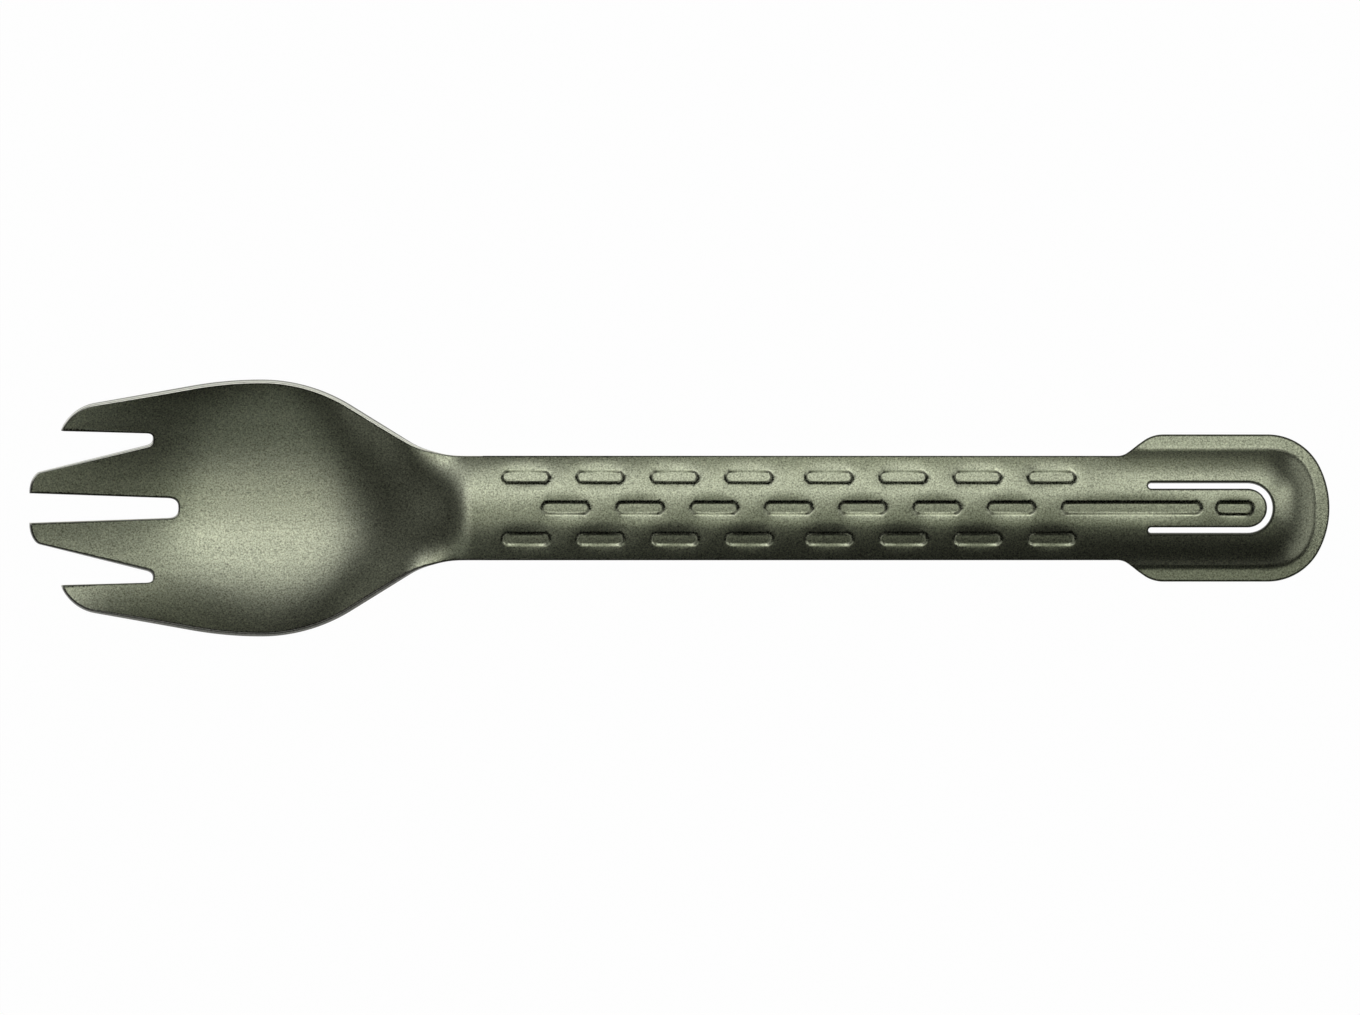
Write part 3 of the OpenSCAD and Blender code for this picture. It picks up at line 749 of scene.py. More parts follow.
@dataclass(frozen=True)
class Tail:
    """Handle and tail of the plan to one side of the centre line, round the slot of the tongue."""

    form: SheetForm
    lanes: Lanes
    handle_cells: int = 540
    gather_run: float = 0.55
    gather_share: float = 4.0
    seam_after: float = 0.8
    slot_start_cells: int = 8
    tab_cells: int = 30
    side_cells: int = 43
    end_cells: int = 45
    tongue_cells: int = 139
    tip_cells: int = 20
    sum_steps: int = 20000
    arc_steps: int = 300

    @cached_property
    def slot_mid(self) -> float:
        """Middle of a leg of the slot, across."""
        return (self.form.tongue_w + self.form.tongue_gap) / 2

    @cached_property
    def slot_r(self) -> float:
        """Half width of the slot grown by the radius of its edge."""
        return self.form.tongue_gap / 2 + self.lanes.edge_r

    @cached_property
    def slot_from(self) -> float:
        """Start of the grown slot, along."""
        return self.form.bend_end - self.lanes.edge_r

    @cached_property
    def seam_at(self) -> float:
        """Place along where the tongue's own piece starts."""
        return self.form.bend_end + self.seam_after

    @cached_property
    def slot_stations(self) -> Array:
        """Places along the round start of a leg of the slot and on to the seam."""
        turn = np.linspace(0, np.pi / 2, self.slot_start_cells + 1)
        return np.r_[self.slot_from + self.slot_r * (1 - np.cos(turn)), self.seam_at]

    def slot_half(self, s: Array) -> Array:
        """Half width of a leg of the slot: a half circle, then straight."""
        return root(self.slot_r**2 - np.clip(self.slot_from + self.slot_r - s, 0, self.slot_r) ** 2)

    def tongue_lanes(self, limit: Array) -> Array:
        """Lanes beside the long bead, as on the handle, and two more out to a limit.

        Args:
            limit: The limit at each place along.

        Returns:
            Places across, a row for each place along.
        """
        n = self.lanes.tongue
        fixed = np.broadcast_to(self.lanes.handle[: n - 1], (len(limit), n - 1))
        return np.column_stack([fixed, limit - self.lanes.rim_lane, limit])

    def handle_stations(self) -> Array:
        """Sets out the handle: even steps of a running sum that grows faster near the ends of beads.

        Returns:
            Places along.
        """
        form = self.form
        s = np.linspace(form.handle_from, form.handle_to, self.sum_steps + 1)
        r = form.bead_w / 2
        ends = np.r_[form.beads[:, 0] - r, form.beads[:, 1] + r]
        near = np.abs(s[:, None] - ends).min(axis=1) < self.gather_run
        run = np.cumsum(np.where(near, self.gather_share, 1.0))
        return np.interp(np.linspace(run[0], run[-1], self.handle_cells + 1), run, s)

    def handle(self) -> Array:
        """Grid of the handle: the same lanes all along."""
        return lattice(self.handle_stations()[:, None], self.lanes.handle)

    def tab(self) -> Array:
        """Sets out the sheet from the handle to the slot: lanes ease from one's to the other's.

        Returns:
            The grid.
        """
        form, lanes, n = self.form, self.lanes.handle, self.lanes.tongue
        s = np.linspace(form.handle_to, self.slot_from, self.tab_cells + 1)
        ease = smooth((s - form.handle_to) / (self.slot_from - form.handle_to))
        limit = mix(lanes[n], self.slot_mid, ease)
        was = (lanes[n:] - lanes[n]) / (lanes[-1] - lanes[n])
        shares = mix(was, self.lanes.band_shares, ease[:, None])
        edge = form.tail_edge(s) - self.lanes.edge_r
        outer = mix(limit[:, None], edge[:, None], shares)
        inner = self.tongue_lanes(limit)
        inner[:, n - 1] = mix(lanes[n - 1], inner[:, n - 1], ease)
        return lattice(s[:, None], np.column_stack([inner, outer[:, 1:]]))

    def strip(self) -> Array:
        """Grid of the root of the tongue between the two legs of the slot, up to the seam."""
        s = self.slot_stations
        return lattice(s[:, None], self.tongue_lanes(self.slot_mid - self.slot_half(s)))

    def side(self) -> Array:
        """Sets out the sheet between a leg of the slot and the rim of the tail.

        Returns:
            The grid.
        """
        rest = np.linspace(self.seam_at, self.form.tongue_mid, self.side_cells + 1)[1:]
        s = np.r_[self.slot_stations, rest]
        low = self.slot_mid + self.slot_half(s)
        high = self.form.tail_edge(s) - self.lanes.edge_r
        return lattice(s[:, None], mix(low[:, None], high[:, None], self.lanes.band_shares))

    def end_line(self, shares: Array) -> Array:
        """Points on the rim of the tail from beside the tongue's tip round to the centre line.

        Args:
            shares: Shares of the rim's length there.

        Returns:
            Places along and across: a straight side, an arc for the corner, an arc for the end.
        """
        form, r = self.form, self.lanes.edge_r
        big, small = form.tail_end_r - r, form.tail_corner_r - r
        offset = form.tail_end_r - form.tail_corner_r
        corner = np.arccos((form.tail_w / 2 - form.tail_corner_r) / offset)
        end_s = form.length - form.tail_end_r
        corner_s = end_s + offset * np.sin(corner)
        corner_y = form.tail_w / 2 - form.tail_corner_r
        a = np.linspace(0, corner, self.arc_steps)
        b = np.linspace(np.pi / 2 - corner, 0, self.arc_steps)
        line = np.concatenate([
            [[form.tongue_mid, form.tail_w / 2 - r]],
            np.stack([corner_s + small * np.sin(a), corner_y + small * np.cos(a)], axis=1),
            np.stack([end_s + big * np.cos(b), big * np.sin(b)], axis=1)[1:],
        ])
        run = np.r_[0, np.cumsum(np.hypot(*np.diff(line, axis=0).T))]
        return np.stack([np.interp(shares * run[-1], run, column) for column in line.T], axis=1)

    def end(self) -> Array:
        """Sets out the end of the tail: a fan from the round of the slot to the rim.

        Returns:
            The grid.
        """
        a = np.linspace(0, 1, self.end_cells + 1)
        r = self.slot_mid + self.slot_r
        turn = a * np.pi / 2
        near = np.stack([self.form.tongue_mid + r * np.sin(turn), r * np.cos(turn)], axis=1)
        near[-1, 1] = 0.0
        return mix(near[:, None], self.end_line(a)[:, None], self.lanes.band_shares[None, :, None])

    def cup_grids(self) -> list[Array]:
        """Every grid of the tail round the tongue, on one side."""
        return [self.tab(), self.strip(), self.side(), self.end()]

    def tongue_grids(self) -> list[Array]:
        """Sets out the tongue on one side: a square bent into a disc makes its round tip.

        Returns:
            The straight strip and the tip.
        """
        s = np.linspace(self.seam_at, self.form.tongue_mid, self.tongue_cells + 1)
        r = self.slot_mid - self.slot_r
        lanes = self.tongue_lanes(np.full(len(s), r))
        u = np.r_[np.linspace(0, 1 - self.lanes.rim_lane / r, self.tip_cells), 1][:, None]
        v = lanes[-1] / r
        tip_s = self.form.tongue_mid + r * u * np.sqrt(1 - v * v / 2)
        tip_y = r * v * np.sqrt(1 - u * u / 2)
        return [lattice(s[:, None], lanes), lattice(tip_s, tip_y)]


@dataclass
class Plan:
    """Flat mesh of quads on the plan, welded from grids."""

    points: Array
    quads: Array

    @classmethod
    def weld(cls, grids: Sequence[Array], step: float = 1e-4) -> "Plan":
        """Mirrors grids to both sides and joins their shared points.

        Args:
            grids: Grids of places along and across, on one side of the centre line.
            step: Points that round to the same multiple of this are one point.

        Returns:
            The welded plan, its quads counter-clockwise seen from above.
        """
        both = [*grids, *(grid * np.array([1.0, -1.0]) for grid in grids)]
        points, quads, first = [], [], 0
        for grid in both:
            n, m, _ = grid.shape
            index = first + np.arange(n * m).reshape(n, m)
            corners = (index[:-1, :-1], index[1:, :-1], index[1:, 1:], index[:-1, 1:])
            cells = np.stack(corners, axis=2).reshape(-1, 4)
            flat = grid.reshape(-1, 2)
            c = flat[cells - first]
            d, e = c[:, 2] - c[:, 0], c[:, 3] - c[:, 1]
            area = (d[:, 0] * e[:, 1] - d[:, 1] * e[:, 0]).sum()
            quads.append(cells if area > 0 else cells[:, ::-1])
            points.append(flat)
            first += n * m
        flat = np.concatenate(points)
        whole = np.rint(flat / step).astype(np.int64)
        keys = whole[:, 0] * KEY_STRIDE + whole[:, 1]
        _, keep, joined = np.unique(keys, return_index=True, return_inverse=True)
        return cls(flat[keep], joined.reshape(-1)[np.concatenate(quads)])

    def rim(self) -> Array:
        """Finds the edges that belong to one quad only.

        Returns:
            Both ends of each, in the direction of its quad.
        """
        edges = np.concatenate([self.quads[:, [i, (i + 1) % 4]] for i in range(4)])
        low, high = edges.min(axis=1), edges.max(axis=1)
        keys = low * (high.max() + 1) + high
        _, where, count = np.unique(keys, return_inverse=True, return_counts=True)
        return edges[count[where.reshape(-1)] == 1]


@dataclass(frozen=True)
class Seam:
    """A straight line across the sheet where two pieces meet."""

    at: float
    reach: float
    facing: int
    slack: float = 1e-3

    def holds(self, points: Array) -> Array:
        """Which places on the plan lie on the seam."""
        return (np.abs(points[:, 0] - self.at) < self.slack) & (np.abs(points[:, 1]) < self.reach)


@dataclass(frozen=True)
class CutEdge:
    """Cut edges of the sheet: the radius and cells of their two corners, the least size that the mean
    direction of the rim counts for where it turns, and the painted shade and painted highlight on them,
    where below nought is a painted highlight."""

    r: float
    cells: int = 3
    least_size: float = 0.7
    # Painted shade on the face's rim and on unlit corners, painted highlight on upper corners that face +Y
    rim_painted_shade: float = 1.0
    lit_painted_highlight: float = -0.85
    unlit_painted_shade: float = 0.75
    lit_facing: tuple[float, float] = (0.2, 0.6)

    def upper_painted_light(self, out: Array) -> Array:
        """Painted light on the upper corners: an ease from painted shade on the rest to a painted highlight
        on the ones that face +Y.
        """
        first, last = self.lit_facing
        return mix(self.unlit_painted_shade, self.lit_painted_highlight, smooth((out[:, 1] - first) / (last - first)))


@dataclass
class Shell:
    """Closed mesh of a piece of the sheet, in millimetres."""

    points: Array
    normals: Array
    painted_light: Array
    quads: Array
    zones: Array
    caps: list[Array]

    @classmethod
    def press(cls, plan: Plan, form: SheetForm, cut: CutEdge, seams: Sequence[Seam]) -> "Shell":
        """Gives a plan its shape and thickness: an upper face, an under face a sheet's thickness below it
        along the normals, and cut edges square to the sheet with both corners turned by a small radius.

        Args:
            plan: Welded plan.
            form: Shape of the sheet.
            cut: Its cut edges.
            seams: Where the piece meets others; each seam gets a flat cap and no rounding. A seam faces 1 if
                the piece ends there, -1 if it starts there.

        Returns:
            The closed shell.
        """
        top, normals = form.lift(plan.points)
        n = len(top)
        low = top - form.sheet_t * normals
        edges = plan.rim()
        on_seam = [seam.holds(plan.points)[edges].all(axis=1) for seam in seams]
        rim = edges[~np.any(on_seam, axis=0)]

        # Outward direction at each vertex of the rim, lengthened where the rim turns a corner
        way = top[rim[:, 1]] - top[rim[:, 0]]
        way /= np.linalg.norm(way, axis=1, keepdims=True)
        total, count = np.zeros((n, 3)), np.zeros(n)
        np.add.at(total, rim.reshape(-1), np.repeat(way, 2, axis=0))
        np.add.at(count, rim.reshape(-1), 1)
        verts = np.flatnonzero(count)
        ahead = total[verts] / count[verts, None]
        size = np.linalg.norm(ahead, axis=1, keepdims=True)
        out = np.cross(ahead / size, normals[verts])
        out /= np.linalg.norm(out, axis=1, keepdims=True)
        reach = cut.r / np.maximum(size, cut.least_size)

        # Rings of the rounded edge from the upper face round to the under face
        turns = np.linspace(0, np.pi / 2, cut.cells + 1)[1:]
        up, rings, ring_normals = normals[verts], [], []
        for side, face in ((1, top[verts]), (-1, low[verts])):
            for a in turns[::side]:
                rings.append(face + out * reach * np.sin(a) - side * up * cut.r * (1 - np.cos(a)))
                ring_normals.append(side * up * np.cos(a) + out * np.sin(a))
        place = np.full(n, -1)
        place[verts] = np.arange(len(verts))
        ladder = [np.arange(n)]
        ladder += [np.where(place >= 0, 2 * n + k * len(verts) + place, -1) for k in range(len(rings))]
        ladder.append(n + np.arange(n))
        sides = [
            np.stack([a[rim[:, 1]], a[rim[:, 0]], b[rim[:, 0]], b[rim[:, 1]]], axis=1)
            for a, b in zip(ladder[:-1], ladder[1:])
        ]
        caps = [cls.seam_cap(plan, edges[on], ladder)[:: seam.facing] for seam, on in zip(seams, on_seam)]
        quads = np.concatenate([plan.quads, plan.quads[:, ::-1] + n, *sides])
        zones = np.full(len(quads), int(Zone.FACE))
        zones[2 * len(plan.quads):] = int(Zone.CUT_EDGE)
        points = np.concatenate([top, low, *rings])
        # Painted highlight on upper corners of the cut edge that face +Y, painted shade on the other corners
        above = np.tile(cut.upper_painted_light(out), cut.cells)
        below = np.full(cut.cells * len(verts), cut.unlit_painted_shade)
        painted_light = np.concatenate([form.painted_light(plan.points), np.zeros(n), above, below])
        # Painted shade as a dark line along the rim of the upper face
        painted_light[verts] = np.maximum(painted_light[verts], cut.rim_painted_shade)
        return cls(points, np.concatenate([normals, -normals, *ring_normals]), painted_light, quads, zones, caps)

    @staticmethod
    def seam_cap(plan: Plan, edges: Array, ladder: list[Array]) -> Array:
        """Closes the end of a piece at a seam.

        Args:
            plan: Welded plan.
            edges: Its edges on the seam.
            ladder: Vertices over each point of the plan, from the upper face round the edge and under it.

        Returns:
            Loop of vertices: under face, edge, upper face, edge.
        """
        line = np.unique(edges)
        line = line[np.argsort(plan.points[line, 1])]
        left = np.array([step[line[0]] for step in ladder[1:-1]])
        right = np.array([step[line[-1]] for step in ladder[1:-1]])
        return np.concatenate([ladder[-1][line], right[::-1], line[::-1], left])

    def build(self, name: str, materials: Sequence[bpy.types.Material]) -> bpy.types.Object:
        """Puts the shell into a mesh at the origin of the frame.

        Args:
            name: Name of the piece.
            materials: Materials in the order of Zone.

        Returns:
            The new object, in the scene.
        """
        mesh = bpy.data.meshes.new(name)
        loops = np.concatenate([self.quads.reshape(-1), *self.caps]).astype(np.int32)
        sizes = np.r_[np.full(len(self.quads), 4), [len(cap) for cap in self.caps]]
        starts = np.r_[0, np.cumsum(sizes)[:-1]].astype(np.int32)
        mesh.vertices.add(len(self.points))
        mesh.vertices.foreach_set("co", (self.points * MM).astype(np.float32).reshape(-1))
        mesh.loops.add(len(loops))
        mesh.loops.foreach_set("vertex_index", loops)
        mesh.polygons.add(len(starts))
        mesh.polygons.foreach_set("loop_start", starts)
        for material in materials:
            mesh.materials.append(material)
        zones = np.r_[self.zones, np.full(len(self.caps), int(Zone.CUT_EDGE))].astype(np.int32)
        mesh.polygons.foreach_set("material_index", zones)
        mesh.polygons.foreach_set("use_smooth", np.ones(len(starts), dtype=bool))
        mesh.update(calc_edges=True)
        mesh.validate(clean_customdata=False)
        mesh.normals_split_custom_set_from_vertices(self.normals.astype(np.float32))
        painted_light = mesh.attributes.new(PAINTED_LIGHT, "FLOAT", "POINT")
        painted_light.data.foreach_set("value", self.painted_light.astype(np.float32))
        piece = bpy.data.objects.new(name, mesh)
        bpy.context.scene.collection.objects.link(piece)
        return piece


@dataclass(frozen=True)
class BlastedGrain:
    """Shader group for the skin of blasted sheet: a fine even grain and faint streaks along the sheet."""

    name: str = "blasted_grain"
    grain_detail: float = 2.0
    grain_roughness: float = 0.65
    streak_detail: float = 3.0
    streak_stretch: float = 0.05

    def build(self) -> bpy.types.NodeTree:
        """Makes the group.

        Returns:
            A group with inputs Grain scale and Streak scale and outputs Grain and Streak.
        """
        group = bpy.data.node_groups.new(self.name, "ShaderNodeTree")
        for label in ("Grain", "Streak"):
            for name, way in ((f"{label} scale", "INPUT"), (label, "OUTPUT")):
                group.interface.new_socket(name, in_out=way, socket_type="NodeSocketFloat")
        nodes, links = group.nodes, group.links
        entry, leave = nodes.new("NodeGroupInput"), nodes.new("NodeGroupOutput")
        place = nodes.new("ShaderNodeTexCoord")
        stretch = nodes.new("ShaderNodeMapping")
        stretch.inputs["Scale"].default_value = (self.streak_stretch, 1.0, 1.0)
        links.new(place.outputs["Object"], stretch.inputs["Vector"])

        grain, streak = nodes.new("ShaderNodeTexNoise"), nodes.new("ShaderNodeTexNoise")
        grain.inputs["Detail"].default_value = self.grain_detail
        grain.inputs["Roughness"].default_value = self.grain_roughness
        streak.inputs["Detail"].default_value = self.streak_detail
        links.new(place.outputs["Object"], grain.inputs["Vector"])
        links.new(stretch.outputs["Vector"], streak.inputs["Vector"])
        for label, noise in (("Grain", grain), ("Streak", streak)):
            links.new(entry.outputs[f"{label} scale"], noise.inputs["Scale"])
            links.new(noise.outputs["Fac"], leave.inputs[label])
        return group


@dataclass(frozen=True)
class AnodisedFinish:
    """Blasted and anodised aluminium: a tinted metal with a dull even grain."""

    name: str
    colour: tuple[float, float, float]
    roughness: float
    grain_mm: float
    grain_tone: float
    grain_height_mm: float
    streak_tone: float = 0.0
    painted_light_tone: float = 0.0
    streak_mm: float = 1.1
    streaks_within_mm: tuple[float, float] = (-42.0, -56.0)
    tones: tuple[float, float] = (0.05, 1.95)
    grain_roughness: float = 0.1

    def build(self, group: bpy.types.NodeTree) -> bpy.types.Material:
        """Makes the material.

        Args:
            group: The grain group.

        Returns:
            A metal whose slope and tone follow the grain, and whose tone also follows the painted shade and
            painted highlight and, in the bowl, the streaks.
        """
        material = bpy.data.materials.new(self.name)
        material.use_nodes = True
        tree = material.node_tree
        nodes, links = tree.nodes, tree.links
        shader = nodes["Principled BSDF"]
        shader.inputs["Metallic"].default_value = 1.0
        skin = nodes.new("ShaderNodeGroup")
        skin.node_tree = group
        skin.inputs["Grain scale"].default_value = 1.0 / (self.grain_mm * MM)
        skin.inputs["Streak scale"].default_value = 1.0 / (self.streak_mm * MM)
        place, axes = nodes.new("ShaderNodeTexCoord"), nodes.new("ShaderNodeSeparateXYZ")
        links.new(place.outputs["Object"], axes.inputs["Vector"])
        painted_light = nodes.new("ShaderNodeAttribute")
        painted_light.attribute_name = PAINTED_LIGHT

        first, last = self.streaks_within_mm
        in_bowl = window(tree, axes.outputs["X"], (first * MM, last * MM), self.streak_tone)
        streak = maths(tree, "SUBTRACT", skin.outputs["Streak"], 0.5)
        tone = self.spread(tree, skin.outputs["Grain"], self.grain_tone, 0.5)
        tone = maths(tree, "MULTIPLY_ADD", streak, in_bowl, tone)
        # Painted shade and painted highlight from the mesh's attribute darken or lighten the tone
        tone = maths(tree, "MULTIPLY_ADD", painted_light.outputs["Fac"], -self.painted_light_tone, tone)

        colour = nodes.new("ShaderNodeMix")
        colour.data_type = "RGBA"
        colour.clamp_factor = True
        for label, share in zip("AB", self.tones):
            colour.inputs[label].default_value = (*(share * c for c in self.colour), 1.0)
        links.new(tone, colour.inputs["Factor"])
        links.new(colour.outputs["Result"], shader.inputs["Base Color"])

        rough = self.spread(tree, skin.outputs["Grain"], self.grain_roughness, self.roughness)
        links.new(rough, shader.inputs["Roughness"])
        bump = nodes.new("ShaderNodeBump")
        bump.inputs["Strength"].default_value = 1.0
        bump.inputs["Distance"].default_value = self.grain_height_mm * MM
        links.new(skin.outputs["Grain"], bump.inputs["Height"])
        links.new(bump.outputs["Normal"], shader.inputs["Normal"])
        return material

    @staticmethod
    def spread(
        tree: bpy.types.NodeTree, noise: bpy.types.NodeSocket, amount: float, middle: float
    ) -> bpy.types.NodeSocket:
        """Stretches a noise: a middle plus an amount times the noise less a half."""
        return maths(tree, "MULTIPLY_ADD", noise, amount, middle - 0.5 * amount)


FACE_FINISH = AnodisedFinish(
    name="sage_anodised_face",
    colour=(0.405, 0.43, 0.312),
    roughness=0.32,
    grain_mm=0.25,
    grain_tone=1.4,
    grain_height_mm=0.015,
    streak_tone=0.17,
    painted_light_tone=0.5,
)
# Head's cut edges: a lighter tint that takes the painted highlight and painted shade
RIM_PAINTED_LIGHT_FINISH = AnodisedFinish(
    name="sage_anodised_rim_painted_light",
    colour=(0.45, 0.455, 0.40),
    roughness=0.30,
    grain_mm=0.30,
    grain_tone=0.3,
    grain_height_mm=0.004,
    painted_light_tone=0.5,
)
# Other cut edges: a dark colour as painted shade
EDGE_PAINTED_SHADE_FINISH = AnodisedFinish(
    name="sage_anodised_cut_edge_painted_shade",
    colour=(0.075, 0.08, 0.058),
    roughness=0.40,
    grain_mm=0.30,
    grain_tone=0.3,
    grain_height_mm=0.006,
)


@dataclass
class SporkPressing:
    """The spork itself: the body of the sheet and the tongue that springs in its tail."""

    form: SheetForm = field(default_factory=SheetForm)
    slot_name: str = "sage_aluminium"
    head_nodes: tuple[str, ...] = (
        "outer_tine_right",
        "inner_tine_right",
        "inner_tine_left",
        "outer_tine_left",
        "bowl",
        "neck",
    )
    handle_node: str = "handle"
    tail_node: str = "tail_cup"
    tongue_node: str = "spring_tongue"
    flex_run: float = 3.2

    def __post_init__(self) -> None:
        """Sets out the plan of the sheet."""
        lanes = Lanes(self.form)
        self.cut = CutEdge(lanes.edge_r)
        self.head = Head(self.form, lanes)
        self.tail = Tail(self.form, lanes)

    def piece(
        self,
        name: str,
        grids: Sequence[Array],
        seams: Sequence[Seam],
        materials: Sequence[bpy.types.Material],
    ) -> bpy.types.Object:
        """Welds grids, presses them to shape and makes the piece."""
        return Shell.press(Plan.weld(grids), self.form, self.cut, seams).build(name, materials)

    def build(
        self, face: bpy.types.Material, rim: bpy.types.Material, edge: bpy.types.Material
    ) -> list[bpy.types.Object]:
        """Makes the pieces and hangs the head, handle and tail on the frame.

        Args:
            face: Material of both faces of the sheet.
            rim: Material of the head's cut edges: lighter, with a painted highlight on upper corners that
                face +Y and painted shade on the others.
            edge: Material of all other cut edges, dark as painted shade.

        Returns:
            The head, handle and tail of the sheet, and the tongue.
        """
        form, tail = self.form, self.tail
        wide, slim = form.handle_w, form.tongue_w / 2
        first, last, root_at = form.handle_from, form.handle_to, tail.seam_at
        materials = (face, edge)
        head = self.piece("head_sheet", self.head.grids(), [Seam(first, wide, 1)], (face, rim))
        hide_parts(*self.head_nodes)
        seams = [Seam(first, wide, -1), Seam(last, wide, 1)]
        handle = self.piece("handle_sheet", [tail.handle()], seams, materials)
        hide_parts(self.handle_node)
        seams = [Seam(last, wide, -1), Seam(root_at, slim, 1)]
        cup = self.piece("tail_sheet", tail.cup_grids(), seams, materials)
        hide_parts(self.tail_node)
        for part in (head, handle, cup):
            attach(part, "spork")
        seams = [Seam(root_at, slim, -1)]
        tongue = self.piece("spring_tongue_sheet", tail.tongue_grids(), seams, materials)
        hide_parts(self.tongue_node)
        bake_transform(tongue)
        pieces = [head, handle, cup, tongue]
        return pieces


@dataclass(frozen=True)
class Softbox:
    """A rectangular lamp that faces the middle of the spork."""

    name: str
    towards: tuple[float, float]
    half_spread: tuple[float, float]
    radiance: float
    distance: float
    tint: tuple[float, float, float] = (1.0, 1.0, 1.0)

    def build(self) -> None:
        """Makes the lamp: angles from straight above towards +X and +Y give its place, and half its spread
        as seen from the spork gives its size."""
        ax, ay = np.radians(self.towards)
        size = 2 * self.distance * np.tan(np.radians(self.half_spread))
        data = bpy.data.lights.new(self.name, "AREA")
        data.shape = "RECTANGLE"
        data.size, data.size_y = size
        data.energy = self.radiance * np.pi * size[0] * size[1]
        data.color = self.tint
        lamp = bpy.data.objects.new(self.name, data)
        way = np.array([np.sin(ax), np.sin(ay) * np.cos(ax), np.cos(ay) * np.cos(ax)])
        lamp.location = way * self.distance
        turn = Matrix.Rotation(-ay, 3, "X") @ Matrix.Rotation(ax, 3, "Y")
        lamp.rotation_euler = turn.to_euler()
        lamp.visible_camera = False
        bpy.context.scene.collection.objects.link(lamp)


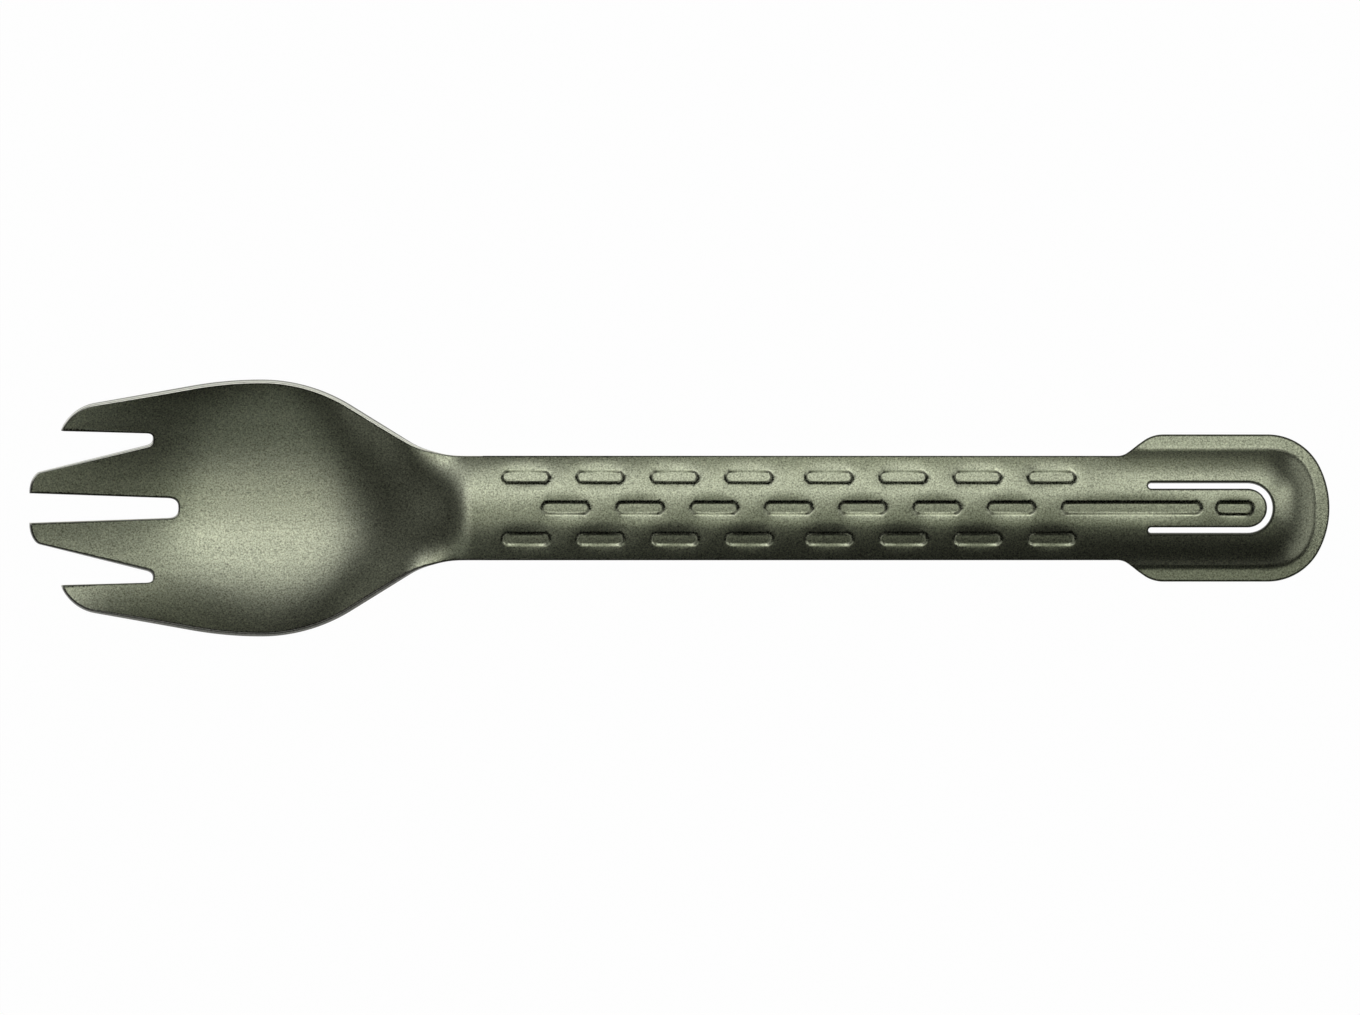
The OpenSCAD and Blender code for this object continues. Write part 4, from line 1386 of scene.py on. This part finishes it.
@dataclass(frozen=True)
class Studio:
    """White floor, six softboxes, surroundings that are dim overhead and paler towards the horizon, most of
    all at both ends of the spork, and a camera straight above."""

    floor_half: float = 3.0
    floor_drop: float = 0.0001
    floor_colour: tuple[float, float, float] = (0.9, 0.9, 0.9)
    floor_glow: float = 0.985
    surround: float = 0.008
    end_glow: float = 0.35
    horizon_glow: float = 0.04
    end_window: tuple[float, float] = (0.35, 0.65)
    low_window: tuple[float, float] = (0.70, 0.43)
    horizon_window: tuple[float, float] = (0.3, 0.1)
    lamps: tuple[Softbox, ...] = (
        Softbox("softbox_far", (-3.7, 22.9), (15.9, 15.8), 1.16, 1.27, tint=(1.0, 0.99, 1.04)),
        Softbox("softbox_over", (3.2, 6.2), (11.8, 22.6), 0.42, 1.40, tint=(0.95, 1.0, 0.86)),
        Softbox("softbox_bowl", (-11.5, -0.5), (1.84, 20.2), 1.9, 0.434, tint=(1.0, 0.93, 1.0)),
        Softbox("softbox_head", (-14.9, -24.5), (2.33, 29.9), 1.0, 0.319, tint=(0.96, 1.0, 0.96)),
        Softbox("softbox_tail", (10.0, 46.2), (5.7, 17.6), 1.05, 0.285, tint=(0.98, 1.0, 0.9)),
        Softbox("softbox_end", (42.0, 9.5), (10.0, 7.5), 1.5, 0.287),
    )
    lens: float = 300.0
    sensor: float = 36.0
    view_w: float = 0.20923
    view_at: tuple[float, float] = (-0.00015, 0.00008)
    aim_z: float = 0.005

    def floor(self) -> None:
        """Makes the floor: mostly a white glow to eye and mirror, and a dull white that keeps the shadow."""
        mesh = bpy.data.meshes.new("floor")
        h = self.floor_half
        mesh.from_pydata([(-h, -h, 0), (h, -h, 0), (h, h, 0), (-h, h, 0)], [], [(0, 1, 2, 3)])
        material = bpy.data.materials.new("floor_white")
        material.use_nodes = True
        tree = material.node_tree
        nodes, links = tree.nodes, tree.links
        nodes.clear()
        path = nodes.new("ShaderNodeLightPath").outputs
        seen = maths(tree, "MAXIMUM", path["Is Camera Ray"], path["Is Glossy Ray"])
        seen = maths(tree, "MAXIMUM", seen, path["Is Transmission Ray"])
        dull = nodes.new("ShaderNodeBsdfDiffuse")
        dull.inputs["Color"].default_value = (*self.floor_colour, 1.0)
        glow = nodes.new("ShaderNodeEmission")
        blend = nodes.new("ShaderNodeMixShader")
        links.new(maths(tree, "MULTIPLY", seen, self.floor_glow), blend.inputs["Fac"])
        links.new(dull.outputs["BSDF"], blend.inputs[1])
        links.new(glow.outputs["Emission"], blend.inputs[2])
        leave = nodes.new("ShaderNodeOutputMaterial")
        links.new(blend.outputs["Shader"], leave.inputs["Surface"])
        mesh.materials.append(material)
        floor = bpy.data.objects.new("floor", mesh)
        floor.location.z = -self.floor_drop
        bpy.context.scene.collection.objects.link(floor)

    def world(self) -> None:
        """Sets the surroundings: a level that goes up towards the horizon, and more so at both ends of the
        spork, by smooth steps over the size of a direction's X and over its Z."""
        world = bpy.data.worlds.new("studio")
        world.use_nodes = True
        tree = world.node_tree
        place, axes = tree.nodes.new("ShaderNodeTexCoord"), tree.nodes.new("ShaderNodeSeparateXYZ")
        tree.links.new(place.outputs["Generated"], axes.inputs["Vector"])
        x, z = axes.outputs["X"], axes.outputs["Z"]
        ends = window(tree, maths(tree, "ABSOLUTE", x), self.end_window, self.end_glow)
        low = window(tree, z, self.low_window)
        horizon = window(tree, z, self.horizon_window, self.horizon_glow)
        level = maths(tree, "ADD", maths(tree, "MULTIPLY_ADD", ends, low, horizon), self.surround)
        backdrop = tree.nodes["Background"]
        backdrop.inputs["Color"].default_value = (1.0, 1.0, 1.0, 1.0)
        tree.links.new(level, backdrop.inputs["Strength"])
        bpy.context.scene.world = world

    def camera(self) -> None:
        """Sets a long lens straight above, its frame as wide as the photograph's."""
        scene = bpy.context.scene
        data = bpy.data.cameras.new("camera")
        data.type = "PERSP"
        data.sensor_fit = "HORIZONTAL"
        data.sensor_width = self.sensor
        data.lens = self.lens
        camera = bpy.data.objects.new("camera", data)
        camera.location = (*self.view_at, self.aim_z + self.view_w * self.lens / self.sensor)
        scene.collection.objects.link(camera)
        scene.camera = camera

    def build(self) -> None:
        """Sets up the whole studio."""
        bpy.context.scene.view_settings.view_transform = "Standard"
        self.floor()
        for lamp in self.lamps:
            lamp.build()
        self.world()
        self.camera()


def main() -> None:
    """Builds the spork and its studio."""
    logging.basicConfig(level=logging.INFO, format="%(message)s")
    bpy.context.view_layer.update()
    group = BlastedGrain().build()
    materials = [finish.build(group) for finish in (FACE_FINISH, RIM_PAINTED_LIGHT_FINISH, EDGE_PAINTED_SHADE_FINISH)]
    for piece in SporkPressing().build(*materials):
        mesh = piece.data
        LOG.info("%s: %d points, %d faces", piece.name, len(mesh.vertices), len(mesh.polygons))
    Studio().build()


if __name__ == "__main__":
    main()
